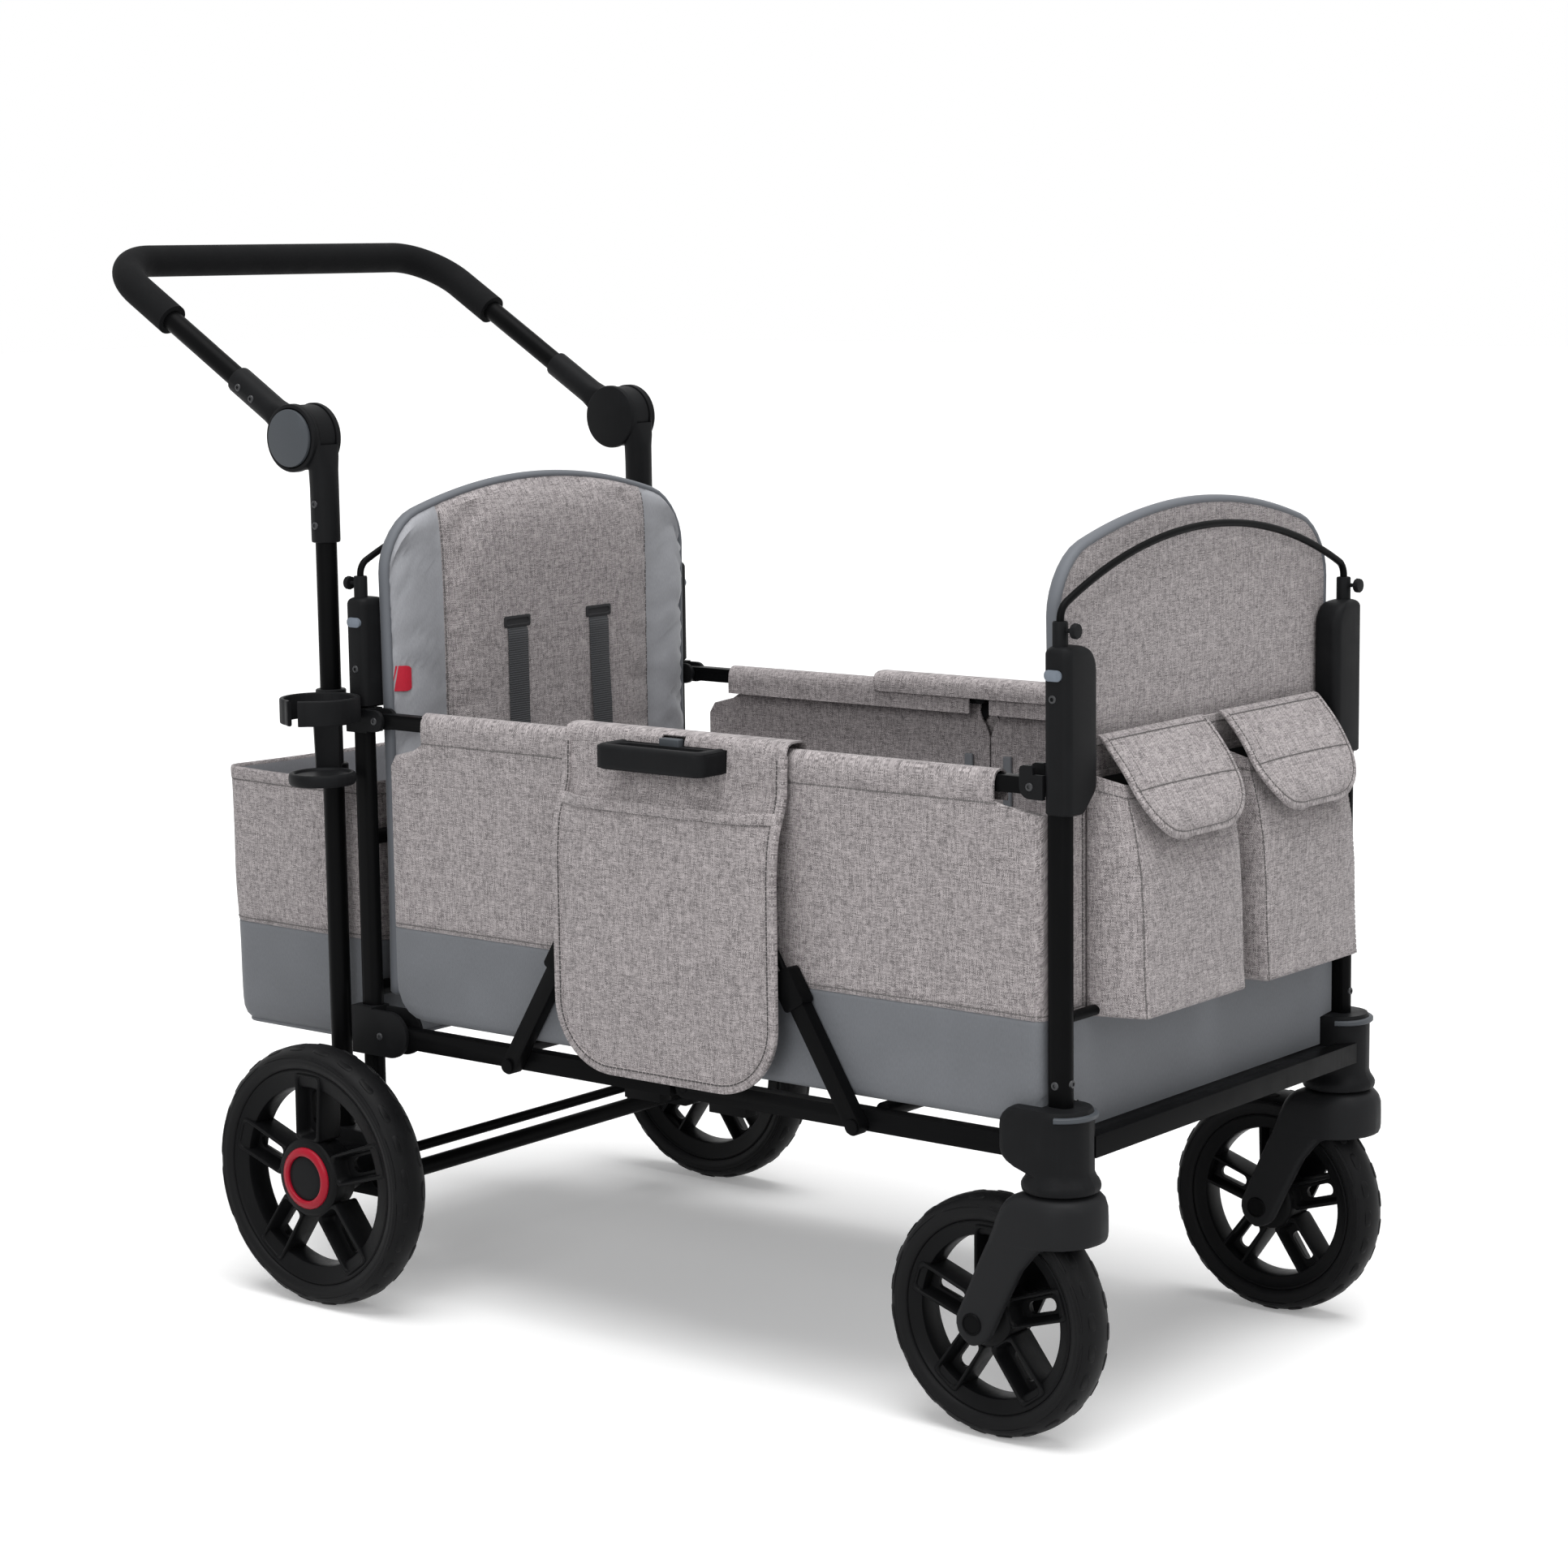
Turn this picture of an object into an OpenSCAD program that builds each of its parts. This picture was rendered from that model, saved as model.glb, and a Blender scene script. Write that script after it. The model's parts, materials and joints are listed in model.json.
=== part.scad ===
// Folding stroller wagon: two facing padded seats in a fabric tub on a steel frame.
// The floor and top rails break upwards at the middle, so the front end comes back upright.
// Working frame: X forward from the rear posts, Y to the left, Z up from the ground.

/* [Chassis] */
// Distance between the rear and front posts
post_gap = 860; // [820:5:900]
// Distance from the middle plane to each post
half_track = 246; // [238:1:256]
// Post width along the wagon
post_w = 24; // [20:1:26]
// Post thickness across the wagon
post_t = 16; // [12:1:17]
// Height of the top of the posts
post_top = 692; // [670:1:694]
// Height of the floor-rail pivots
floor_pivot_z = 276; // [268:1:284]
// Distance of the top-rail pivots below the post tops
top_pivot_drop = 89; // [86:1:97]
// Distance of each rail pivot from its post
pivot_reach = 25; // [24:0.5:28]
// Height of the rear cross bar
rear_bar_z = 479; // [420:1:520]
// Diameter of the cross bars
cross_bar_d = 16; // [12:1:18]
// Height of the front panel bar
panel_bar_z = 397; // [380:1:430]

/* [Rails and pivots] */
// Height of the floor rails
floor_rail_h = 20; // [18:1:22]
// Width of the floor rails
floor_rail_w = 16; // [14:1:18]
// Height of the top rails
top_rail_h = 15; // [12:1:16]
// Width of the top rails
top_rail_w = 14; // [12:1:15]
// Diameter of the pivot pins
pivot_pin_d = 8; // [6:0.5:9]
// Thickness of the pivot cheeks
cheek_t = 4.5; // [4:0.5:6]

/* [Wheels] */
// Rear wheel diameter
rear_wheel_d = 272; // [256:1:288]
// Front wheel diameter
front_wheel_d = 227; // [215:1:231]
// Tyre width
tyre_w = 44; // [38:1:46]
// Height of the tyre outside the rim
tyre_h = 23; // [18:1:26]
// Rim band height
rim_band = 15; // [12:1:18]
// Number of twin-rib spokes
spoke_count = 5; // [4:1:6]
// Width of a twin-rib spoke
spoke_w = 34; // [28:1:38]
// Distance of the rear hub faces outside the posts
hub_face_reach = 96; // [92:1:106]
// Distance of the rear axle behind the rear posts
rear_axle_back = 12; // [6:1:18]
// Rear axle diameter
rear_axle_d = 11; // [9:0.5:13]
// Caster trail
caster_trail = 69; // [60:1:74]
// Half width of a caster fork
fork_half_w = 42; // [40:0.5:46]
// Fork leg thickness
fork_leg_t = 9; // [7:0.5:10]

/* [Push bar] */
// Distance of the poles behind the rear posts
pole_back = 48; // [46:1:54]
// Tube diameter of the poles and the push bar
tube_d = 22; // [20:0.5:23]
// Distance of the hub axis behind the rear posts
hub_back = 74.5; // [68:0.5:80]
// Height of the hub axis
hub_z = 889; // [860:1:915]
// Hub diameter
hub_d = 70; // [66:1:74]
// Hub width
hub_w = 40; // [38:1:44]
// Arm length from hub axis to grip
arm_len = 345.7; // [320:1:370]
// Arm angle above level
arm_angle = 31.5; // [25:0.5:40]
// Bend radius of the push bar
bar_bend = 60; // [50:1:80]
// Foam grip diameter
foam_d = 34; // [30:0.5:37]
// Start of the foam along the arm
foam_start = 228; // [200:1:240]

/* [Soft goods] */
// Distance of the seat sides inside the posts
seat_inset = 8; // [7:0.5:23]
// Height of the seat-back apex above the post tops
seat_rise = 146; // [118:1:158]
// Seat-back thickness at the crown
seat_crown = 34; // [26:1:38]
// Length of a seat pad
pad_len = 210; // [180:1:225]
// Seat pad thickness at the crown
pad_crown = 44; // [30:1:55]
// Fabric wall thickness
cloth_t = 4; // [3:0.5:4.5]
// Height of the lower edge of the fabric walls
wall_foot_z = 296; // [294:1:300]
// Depth of the storage bag behind the rear bar
bag_depth = 222; // [180:1:240]
// Lower edge of the storage bag
bag_foot_z = 245; // [235:1:270]
// Upper edge of the storage bag
bag_top_z = 534; // [500:1:545]
// Half width of the side flaps
flap_half_w = 137; // [120:1:142]
// Lower edge of the side flaps
flap_foot_z = 286; // [265:1:305]
// Pocket depth
pocket_depth = 41; // [34:1:50]
// Pocket lower edge
pocket_foot_z = 389; // [380:1:410]
// Distance of the pocket mouths below the top-rail pivots
pocket_drop = 3; // [0:1:33]

/* [Fits] */
// Radial clearance of running pins
run_gap = 0.05; // [0.02:0.01:0.1]
// Clearance of pieces that sit in or beside each other
seat_gap = 0.3; // [0.2:0.05:0.4]
// Play of the open pivot at the front of the top rails
open_pivot_gap = 1; // [0.6:0.1:1.2]

/* [Hidden] */
$fn = 64;
wide_fn = 128;
// Colours of the finishes
frame_black = "#17181a";
plastic_black = "#26272a";
slate = "#59626d";
heather = "#9e9793";
dark_grey = "#6a6d71";
tyre_black = "#1b1c1e";
foam_black = "#202124";

// Frame layout
centre_x = post_gap / 2;
top_pivot_z = post_top - top_pivot_drop;
pin_r = pivot_pin_d / 2;
bore_r = pin_r + run_gap;
pin_head_r = pin_r + 3;
floor_rail_out = half_track + 4;
floor_in = floor_rail_out - floor_rail_w / 2;
floor_out = floor_rail_out + floor_rail_w / 2;
top_in = half_track - top_rail_w / 2;
top_out = half_track + top_rail_w / 2;
side_gap = 0.5;
post_in = half_track - post_t / 2;
bow_d = 7;
// Layers outside the fabric: struts first, then the hanging flaps
strut_in = floor_out + 1.2;
rod_d = 7;
rod_out = strut_in + 6.8;
rod_play = 3;
channel_wall = 2;
channel_half_w = rod_d / 2 + rod_play + channel_wall;
channel_out = strut_in + 13.8;
sleeve_out = channel_out + 3;
flap_in = sleeve_out + 3;
flap_t = 4;
// Strut pivots: low on the floor rails, high on the fold-handle plates
strut_reach = 216;
strut_foot_z = floor_pivot_z - 4;
strut_top_reach = 55;
strut_top_z = top_pivot_z - 68;
strut_dx = strut_reach - strut_top_reach;
strut_dz = strut_top_z - strut_foot_z;
strut_len = sqrt(strut_dx * strut_dx + strut_dz * strut_dz);
strut_angle = atan2(strut_dz, strut_dx);
rod_end_gap = 13;
sleeve_from = 122;
sleeve_to = 160;
// Push bar and wheels
tube_r = tube_d / 2;
foam_r = foam_d / 2;
hub_r = hub_d / 2;
hub_x = -hub_back;
pole_x = -pole_back;
pole_foot_z = 140;
rear_hub_face = half_track + hub_face_reach;
rear_r = rear_wheel_d / 2;
front_r = front_wheel_d / 2;
axle_x = -rear_axle_back;
axle_r = rear_axle_d / 2;
brake_x = 14;
brake_z = rear_r - 14;
brake_r = 9;
pedal_inset = 70;
pedal_w = 50;
pedal_near = 70;
pedal_far = 112;
arm_sleeve_end = 112;
front_axle_x = post_gap - caster_trail;
front_axle_r = 6;
fork_cheek_in = fork_half_w - fork_leg_t;
bracket_top_z = floor_pivot_z + 40;
bracket_foot_z = floor_pivot_z - 36;
// Upper corners
housing_top_z = post_top + 36;
housing_in = half_track - 38;
housing_out = half_track + 11;
housing_button_z = post_top + 11;
socket_top_z = housing_top_z + 22;
thumbscrew_z = socket_top_z - 8;
thumbscrew_r = 2;
bow_apex_z = housing_top_z + 90;
bow_arc_r = 560;
bow_tilt = asin(half_track / bow_arc_r);
bow_end_z = bow_apex_z - bow_arc_r * (1 - cos(bow_tilt));
// Soft goods
seat_half_w = post_in - seat_inset;
seat_apex_z = post_top + seat_rise;
seat_foot_z = bracket_top_z + 3;
seat_arch = 42;
seat_corner = 45;
seat_seam = 0.7;
pad_seam = 0.34;
seat_edge = 9;
pad_edge = 16;
rear_seat_x = post_w / 2 + 1 + seat_gap;
front_seat_x = post_gap - post_w / 2 - seat_gap;
board_z = floor_pivot_z + 16;
board_t = 8;
board_start = 165;
board_half_w = floor_in - 14;
pad_half_w = seat_half_w - 8;
hem_in = top_in - side_gap - cloth_t;
wall_out = top_out + side_gap + cloth_t;
hem_top_z = top_pivot_z + top_rail_h / 2 + side_gap + cloth_t;
hem_foot_z = top_pivot_z - 15;
wall_rear_x = pivot_reach + 20;
wall_front_x = post_gap - post_w / 2 - 2;
hem_inset = 63;
wall_centre_gap = 14;
batten_w = 10;
batten_t = 4;
batten_inset = 20;
batten_foot_z = floor_pivot_z + 24;
batten_top_z = top_pivot_z - 63;
panel_x = post_gap - 7;
panel_lid_z = top_pivot_z + 37;
pocket_in = 14;
pocket_out = half_track - 59;
pocket_top_z = top_pivot_z - pocket_drop;
pocket_x = post_gap + 11.5;
pocket_front = pocket_x + pocket_depth;
lid_drop = 48;
lid_t = 4;
// The box of the whole wagon is centred on the origin along X
grip_x = hub_x - arm_len * cos(arm_angle) - foam_r;
nose_x = pocket_front + side_gap + lid_t;
origin_shift = -(grip_x + nose_x) / 2;

// Placing helpers. Pieces are drawn on the right-hand side, where "out" is the distance
// from the middle plane, and mirrored to the left.
module placed() { translate([origin_shift, 0, 0]) children(); }
module left() { mirror([0, 1, 0]) children(); }
module both_sides() {
    children();
    left() children();
}
module fore_aft() { translate([2 * centre_x, 0, 0]) mirror([1, 0, 0]) children(); }
module slab(x0, x1, out0, out1, z0, z1) {
    translate([x0, -out1, z0]) cube([x1 - x0, out1 - out0, z1 - z0]);
}
module pin(x, z, r, out0, out1) {
    translate([x, -out0, z]) rotate([90, 0, 0]) cylinder(r = r, h = out1 - out0);
}
module side_plate(out0, out1) {
    translate([0, -out0, 0]) rotate([90, 0, 0]) linear_extrude(out1 - out0) children();
}
module end_plate(x0, x1) {
    translate([x0, 0, 0]) rotate([90, 0, 90]) linear_extrude(x1 - x0) children();
}
module rod(from, to, r) {
    d = to - from;
    flat = sqrt(d[0] * d[0] + d[1] * d[1]);
    translate(from) rotate([0, atan2(flat, d[2]), atan2(d[1], d[0])])
        cylinder(r = r, h = norm(d));
}

// Flat outlines
module block2d(x0, x1, y0, y1) { translate([x0, y0]) square([x1 - x0, y1 - y0]); }
module disc2d(x, y, r) { translate([x, y]) circle(r); }
module rounded2d(x0, x1, y0, y1, r) {
    block2d(x0 + r, x1 - r, y0, y1);
    block2d(x0, x1, y0 + r, y1 - r);
    for (x = [x0 + r, x1 - r], y = [y0 + r, y1 - r]) disc2d(x, y, r);
}
module stadium2d(from, to, r, waist = 0) {
    d = to - from;
    half = r - waist;
    translate(from) rotate(atan2(d[1], d[0])) translate([0, -half]) square([norm(d), 2 * half]);
    disc2d(from[0], from[1], r);
    disc2d(to[0], to[1], r);
}
module post2d(gap) {
    half = post_t / 2;
    stadium2d([-(post_w / 2 - half), 0], [post_w / 2 - half, 0], half + gap);
}
module post_bar(x, z0, z1, gap) {
    translate([x, -half_track, z0]) linear_extrude(z1 - z0) post2d(gap);
}
module cross_tube(x, z, r, half) { pin(x, z, r, -half, half); }

// Sewn cushion on a grid: a flat back, a crowned front that is drawn in at its rim, and
// two sewn channels. It lies across Y and along Z, and its crown faces +X.
cushion_across = [for (t = [-1, -0.97, -0.88, -0.79, -0.72, -0.7, -0.68, -0.55, -0.3,
    0, 0.3, 0.55, 0.68, 0.7, 0.72, 0.79, 0.88, 0.97, 1]) t];
cushion_along = [0, 0.04, 0.13, 0.27, 0.42, 0.58, 0.74, 0.87, 0.96, 1];
function channel(t, seam) = exp(-pow((abs(t) - seam) / 0.03, 2));
function swell(t, v) = pow((1 - pow(abs(t), 5)) * (1 - pow(abs(2 * v - 1), 7)), 0.5);
function draw_in(v) = 1 - 0.012 * (1 - pow(2 * v - 1, 2));
module cushion(half_w, length, edge, crown, seam, arch, corner) {
    n = len(cushion_across);
    m = len(cushion_along);
    function corner_drop(t) =
        let (over = max(0, abs(t) * half_w - (half_w - corner)))
        corner == 0 ? 0 : corner - sqrt(max(0, corner * corner - over * over));
    function height(t) = length - arch * t * t - corner_drop(t);
    function face(t, v) = [
        edge + (crown - edge) * swell(t, v) * (1 - 0.22 * channel(t, seam)),
        half_w * t * draw_in(v),
        height(t) * v
    ];
    front = [for (t = cushion_across, v = cushion_along) face(t, v)];
    back = [for (p = front) [0, p[1], p[2]]];
    function at(i, j) = i * m + j;
    rim = concat(
        [for (i = [0 : n - 1]) at(i, 0)],
        [for (j = [1 : m - 1]) at(n - 1, j)],
        [for (i = [n - 2 : -1 : 0]) at(i, m - 1)],
        [for (j = [m - 2 : -1 : 1]) at(0, j)]);
    count = n * m;
    cells = [for (i = [0 : n - 2], j = [0 : m - 2]) [at(i, j), at(i, j + 1), at(i + 1, j + 1), at(i + 1, j)]];
    faces = concat(
        [for (c = cells) [c[0], c[1], c[2]]],
        [for (c = cells) [c[0], c[2], c[3]]],
        [for (c = cells) [count + c[0], count + c[2], count + c[1]]],
        [for (c = cells) [count + c[0], count + c[3], count + c[2]]],
        [for (k = [0 : len(rim) - 1])
            let (a = rim[k], b = rim[(k + 1) % len(rim)]) [a, count + b, count + a]],
        [for (k = [0 : len(rim) - 1])
            let (a = rim[k], b = rim[(k + 1) % len(rim)]) [a, b, count + b]]);
    polyhedron(concat(front, back), faces);
}

// Rear end
module rear_frame() {
    color(frame_black) {
        both_sides() post_bar(0, pole_foot_z + 10, post_top, 0);
        cross_tube(0, rear_bar_z, cross_bar_d / 2, post_in + 3);
        cross_tube(0, floor_pivot_z + 44, cross_bar_d / 2, post_in + 3);
    }
}

module axle_housings() {
    color(plastic_black) both_sides() difference() {
        side_plate(half_track - 16, half_track + 16)
            rounded2d(pole_x - 20, brake_x + 16, brake_z - 18, rear_r + 34, 14);
        post_bar(0, pole_foot_z + 10 - seat_gap, rear_r + 40, seat_gap);
        translate([pole_x, -half_track, pole_foot_z - seat_gap]) cylinder(r = tube_r + seat_gap, h = 60);
        cross_tube(axle_x, rear_r, axle_r + run_gap, half_track + 20);
        cross_tube(brake_x, brake_z, brake_r + run_gap, half_track + 20);
    }
}

module rear_axle() {
    color(frame_black) cross_tube(axle_x, rear_r, axle_r, rear_hub_face - 3);
}

module brake_bar() {
    pedal_in = half_track - pedal_inset;
    pedal_out = pedal_in + pedal_w;
    pedal_t = 12;
    color(frame_black) {
        cross_tube(brake_x, brake_z, brake_r, half_track + 14);
        slab(brake_x - pedal_near - 8, brake_x, pedal_in + 14, pedal_out - 14,
            brake_z - pedal_t / 3, brake_z + pedal_t / 3);
        side_plate(pedal_in, pedal_out)
            rounded2d(brake_x - pedal_far, brake_x - pedal_near,
                brake_z - pedal_t / 2, brake_z + pedal_t / 2, 5);
    }
}

// Where each pole leans back to its hub
pole_bend_z = hub_z - 114;
pole_lean = atan2(hub_back - pole_back, hub_z - pole_bend_z);
module along_pole_top() {
    translate([hub_x, -half_track, hub_z]) rotate([0, -pole_lean, 0]) mirror([0, 0, 1]) children();
}
pole_top_len = norm([hub_back - pole_back, hub_z - pole_bend_z]);
pole_knee_r = tube_r + 0.5;

module handle_poles() {
    color(frame_black) both_sides() {
        translate([pole_x, -half_track, pole_foot_z]) cylinder(r = tube_r, h = pole_bend_z - pole_foot_z);
        translate([pole_x, -half_track, pole_bend_z]) sphere(pole_knee_r);
        along_pole_top() translate([0, 0, hub_r + 8]) cylinder(r = tube_r, h = pole_top_len - hub_r - 8);
    }
}

// Hub layout across Y: two cheeks on the pole, a drum between them on the arm
hub_in = half_track - hub_w / 2 + 1;
hub_out = half_track + hub_w / 2 + 1;
hub_cheek_t = 7;
drum_in = hub_in + hub_cheek_t + seat_gap;
drum_out = hub_out - 9 - seat_gap;
drum_r = hub_r - 1.5;
hub_pin_r = 8;
hub_button_r = hub_r - 5.5;
hub_button_travel = 4;
module hub_bases() {
    color(plastic_black) both_sides() difference() {
        union() {
            pin(hub_x, hub_z, hub_r, hub_in, hub_in + hub_cheek_t);
            pin(hub_x, hub_z, hub_r, hub_out - 9, hub_out);
            pin(hub_x, hub_z, hub_pin_r, hub_in + 2, hub_out - 7);
            along_pole_top() translate([0, 0, hub_r + 1]) cylinder(r = tube_r + 4, h = 70);
            along_pole_top() translate([-tube_r - 4, -hub_w / 2 - 1, hub_r - 0.5])
                cube([2 * tube_r + 8, hub_w, 18]);
            along_pole_top() for (out = [hub_in, hub_out - 9])
                translate([-tube_r - 4, half_track - out - (out == hub_in ? hub_cheek_t : 9), hub_r - 12])
                    cube([2 * tube_r + 8, out == hub_in ? hub_cheek_t : 9, 20]);
        }
        along_pole_top() translate([0, 0, hub_r + 8 - seat_gap]) cylinder(r = tube_r + seat_gap, h = 80);
        pin(hub_x, hub_z, hub_button_r + side_gap, hub_out - 6, hub_out + 1);
    }
}

module corner_housing(x0, x1, z0) {
    corner = 24;
    difference() {
        end_plate(x0, x1) {
            block2d(-housing_out, -housing_in - corner, z0, housing_top_z);
            block2d(-housing_out, -housing_in, z0, housing_top_z - corner);
            disc2d(-housing_in - corner, housing_top_z - corner, corner);
        }
        post_bar((x0 + x1) / 2 > centre_x ? post_gap : 0, z0 - 1, post_top + seat_gap, seat_gap);
    }
}
module bow_socket(x, way) {
    difference() {
        translate([x, -half_track, housing_top_z - 1]) cylinder(r = 7, h = socket_top_z - housing_top_z + 1);
        translate([x, -half_track, housing_top_z + 4]) cylinder(r = bow_d / 2 + seat_gap, h = 30);
        translate([x, -half_track, thumbscrew_z]) rotate([0, way * 90, 0])
            cylinder(r = thumbscrew_r + seat_gap, h = 12);
    }
}
// A release button is a rounded bar that slides 3 mm in a blind pocket of its housing
module button_pocket(x) {
    side_plate(housing_out - 9, housing_out + 1)
        rounded2d(x - 9.3, x + 9.3, housing_button_z - 5.3, housing_button_z + 5.3, 5);
}
module housing_button(x) {
    color(slate) side_plate(housing_out - 5, housing_out + 1.5)
        rounded2d(x - 9, x + 9, housing_button_z - 5, housing_button_z + 5, 4.7);
}
rear_housing_foot = top_pivot_z + 13;
module rear_housings() {
    color(plastic_black) both_sides() {
        difference() {
            corner_housing(-post_w / 2 - 2, post_w / 2 + 1, rear_housing_foot);
            button_pocket(0);
        }
        bow_socket(0, -1);
    }
}
module rear_button_right() { housing_button(0); }
module rear_button_left() { left() housing_button(0); }

// Cheeks that hold a rail end between them on a pin
module rail_cheeks(x, z, in, out, gap, pin_radius) {
    for (o = [in - gap - cheek_t, out + gap]) side_plate(o, o + cheek_t) children();
    pin(x, z, pin_radius, in - gap - 1, out + gap + 1);
}
module pivot_brackets() {
    top_r = top_rail_h / 2 + 3.5;
    low_r = 24;
    color(plastic_black) both_sides() {
        difference() {
            union() {
                slab(-post_w / 2 - 3, post_w / 2 + 2, top_in - side_gap - cheek_t,
                    top_out + side_gap + cheek_t, top_pivot_z - 13, top_pivot_z + 12);
                slab(-post_w / 2 - 3, post_w / 2 + 2, floor_in - side_gap - cheek_t,
                    floor_out + side_gap + cheek_t, floor_pivot_z - 21, floor_pivot_z + 29);
            }
            post_bar(0, floor_pivot_z - 40, top_pivot_z + 20, seat_gap);
        }
        rail_cheeks(pivot_reach, top_pivot_z, top_in, top_out, side_gap, pin_r) {
            block2d(post_w / 2 + 1, pivot_reach, top_pivot_z - top_r, top_pivot_z + top_r);
            disc2d(pivot_reach, top_pivot_z, top_r);
        }
        rail_cheeks(pivot_reach, floor_pivot_z, floor_in, floor_out, side_gap, pin_r) {
            block2d(post_w / 2 + 1, pivot_reach + 14, floor_pivot_z - 21, floor_pivot_z + 27);
            disc2d(pivot_reach + 14, floor_pivot_z + 3, low_r);
        }
    }
}

// Bow rod in its two sockets, clamped by a thumbscrew on each
module bow(x, way) {
    foot = housing_top_z + 6;
    color(frame_black) {
        translate([x, 0, bow_apex_z - bow_arc_r]) rotate([0, 90, 0]) rotate([0, 0, 180 - bow_tilt])
            rotate_extrude(angle = 2 * bow_tilt) translate([bow_arc_r, 0]) circle(bow_d / 2);
        both_sides() {
            translate([x, -half_track, foot]) cylinder(r = bow_d / 2, h = bow_end_z - foot);
            translate([x, -half_track, bow_end_z]) sphere(bow_d / 2 + 0.6);
            translate([x + way * (bow_d / 2 + seat_gap), -half_track, thumbscrew_z])
                rotate([0, way * 90, 0]) {
                cylinder(r = thumbscrew_r, h = 12);
                translate([0, 0, 11]) cylinder(r = 7, h = 5);
            }
        }
    }
}
module rear_bow() { bow(0, -1); }

module seat_back() {
    cushion(seat_half_w, seat_apex_z - seat_foot_z, seat_edge, seat_crown, seat_seam, seat_arch, seat_corner);
}
module seat_pad() {
    translate([rear_seat_x + seat_crown + 4 + pad_len, 0, board_z + board_t + seat_gap]) rotate([0, -90, 0])
        cushion(pad_half_w, pad_len, pad_edge, pad_crown, pad_seam, 0, 0);
}
module rear_seat_back() { color(heather) translate([rear_seat_x, 0, seat_foot_z]) seat_back(); }
module rear_seat_pad() { color(heather) seat_pad(); }

module storage_bag() {
    half_w = post_in - 12;
    front = -cross_bar_d / 2 - seat_gap;
    rear = front - bag_depth;
    corner = 32;
    module profile(inset) {
        r = corner - inset;
        block2d(rear + inset, front - inset, bag_foot_z + corner, bag_top_z + inset);
        block2d(rear + corner, front - inset, bag_foot_z + inset, bag_top_z + inset);
        disc2d(rear + corner, bag_foot_z + corner, r);
    }
    color(heather) difference() {
        side_plate(-half_w, half_w) profile(0);
        side_plate(-half_w + cloth_t, half_w - cloth_t) profile(cloth_t);
    }
}

// Cup holder: a ring and a dished foot on a stem, clamped round the right-hand pole
cup_r = 41;
cup_out = housing_out + 2.8 + cup_r;
cup_x = pole_x + 40;
cup_ring_z = top_pivot_z + 2;
module cup_holder() {
    wall = 4.5;
    ring_h = 26;
    foot_z = cup_ring_z - 64;
    foot_r = 34;
    reach = [pole_x - cup_x, cup_out - half_track];
    turn = atan2(reach[1], reach[0]);
    arm = norm(reach) - cup_r - tube_r + 4;
    color(plastic_black) difference() {
        union() {
            translate([cup_x, -cup_out, cup_ring_z]) cylinder(r = cup_r, h = ring_h);
            translate([cup_x, -cup_out, foot_z]) cylinder(r = foot_r, h = 13);
            translate([cup_x, -cup_out, foot_z]) rotate([0, 0, turn]) {
                translate([cup_r - wall - 1, -13, 0.5])
                    cube([wall + 3, 26, cup_ring_z - foot_z + ring_h - 1]);
                translate([foot_r - 2, -12, 1]) cube([cup_r - foot_r + 3, 24, 11]);
                translate([cup_r - 2, -8, 2]) cube([arm, 16, 9]);
                translate([cup_r - 2, -8, cup_ring_z - foot_z + 3]) cube([arm, 16, ring_h - 6]);
            }
            for (z = [[foot_z, 13], [cup_ring_z, ring_h]])
                translate([pole_x, -half_track, z[0]]) cylinder(r = tube_r + 5, h = z[1]);
        }
        translate([cup_x, -cup_out, cup_ring_z - 1]) cylinder(r = cup_r - wall, h = ring_h + 2);
        translate([cup_x, -cup_out, foot_z + 4]) cylinder(r = foot_r - 4, h = 12);
        translate([pole_x, -half_track, foot_z - 1]) cylinder(r = tube_r + seat_gap, h = 120);
    }
}

// Wheels turn about Y through the local origin; their outer face looks to the right
module wheel_turned() { rotate([90, 0, 0]) rotate_extrude($fn = wide_fn) children(); }
module tyre(outer_r) {
    rim_r = outer_r - tyre_h;
    crown = tyre_w * 0.9;
    wheel_turned() intersection() {
        rounded2d(rim_r, outer_r + 8, -tyre_w / 2, tyre_w / 2, 8);
        disc2d(outer_r - crown, 0, crown);
    }
}
// The hub reaches past the crossing of neighbouring spokes
function wheel_hub_r(spoke) = spoke / 2 / sin(180 / spoke_count) + 1.2;
module spoked_wheel(outer_r, spoke, hub_inner, hub_outer, shaft_r, shaft_end) {
    hub_radius = wheel_hub_r(spoke);
    rim_r = outer_r - tyre_h - 0.1;
    band_r = rim_r - rim_band;
    half = tyre_w / 2 - 5;
    rib_t = 5;
    rib_half = half - 3;
    web_t = 6;
    span = band_r - hub_radius;
    root = hub_radius - 12;
    difference() {
        union() {
            wheel_turned() block2d(band_r, rim_r, -half, half);
            pin(0, 0, hub_radius, -hub_inner, hub_outer);
            for (k = [0 : spoke_count - 1]) rotate([0, 90 + k * 360 / spoke_count, 0]) {
                for (s = [1, -1]) translate([root, -rib_half, s * (spoke - rib_t) / 2 - rib_t / 2])
                    cube([band_r + 3 - root, 2 * rib_half, rib_t]);
                difference() {
                    translate([root, -web_t / 2, -spoke / 2 + 1])
                        cube([band_r + 3 - root, web_t, spoke - 2]);
                    side_plate(-web_t, web_t)
                        rounded2d(hub_radius + span * 0.38, hub_radius + span * 0.86,
                            -spoke / 2 + rib_t + 2, spoke / 2 - rib_t - 2, 6);
                }
            }
        }
        pin(0, 0, shaft_r + run_gap, -hub_inner - 1, shaft_end);
    }
}
rear_wheel_mid = rear_hub_face - tyre_w / 2 - 4;
module at_rear_wheel() { translate([axle_x, -rear_wheel_mid, rear_r]) children(); }
module rear_tyre_right() { color(tyre_black) at_rear_wheel() tyre(rear_r); }
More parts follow.
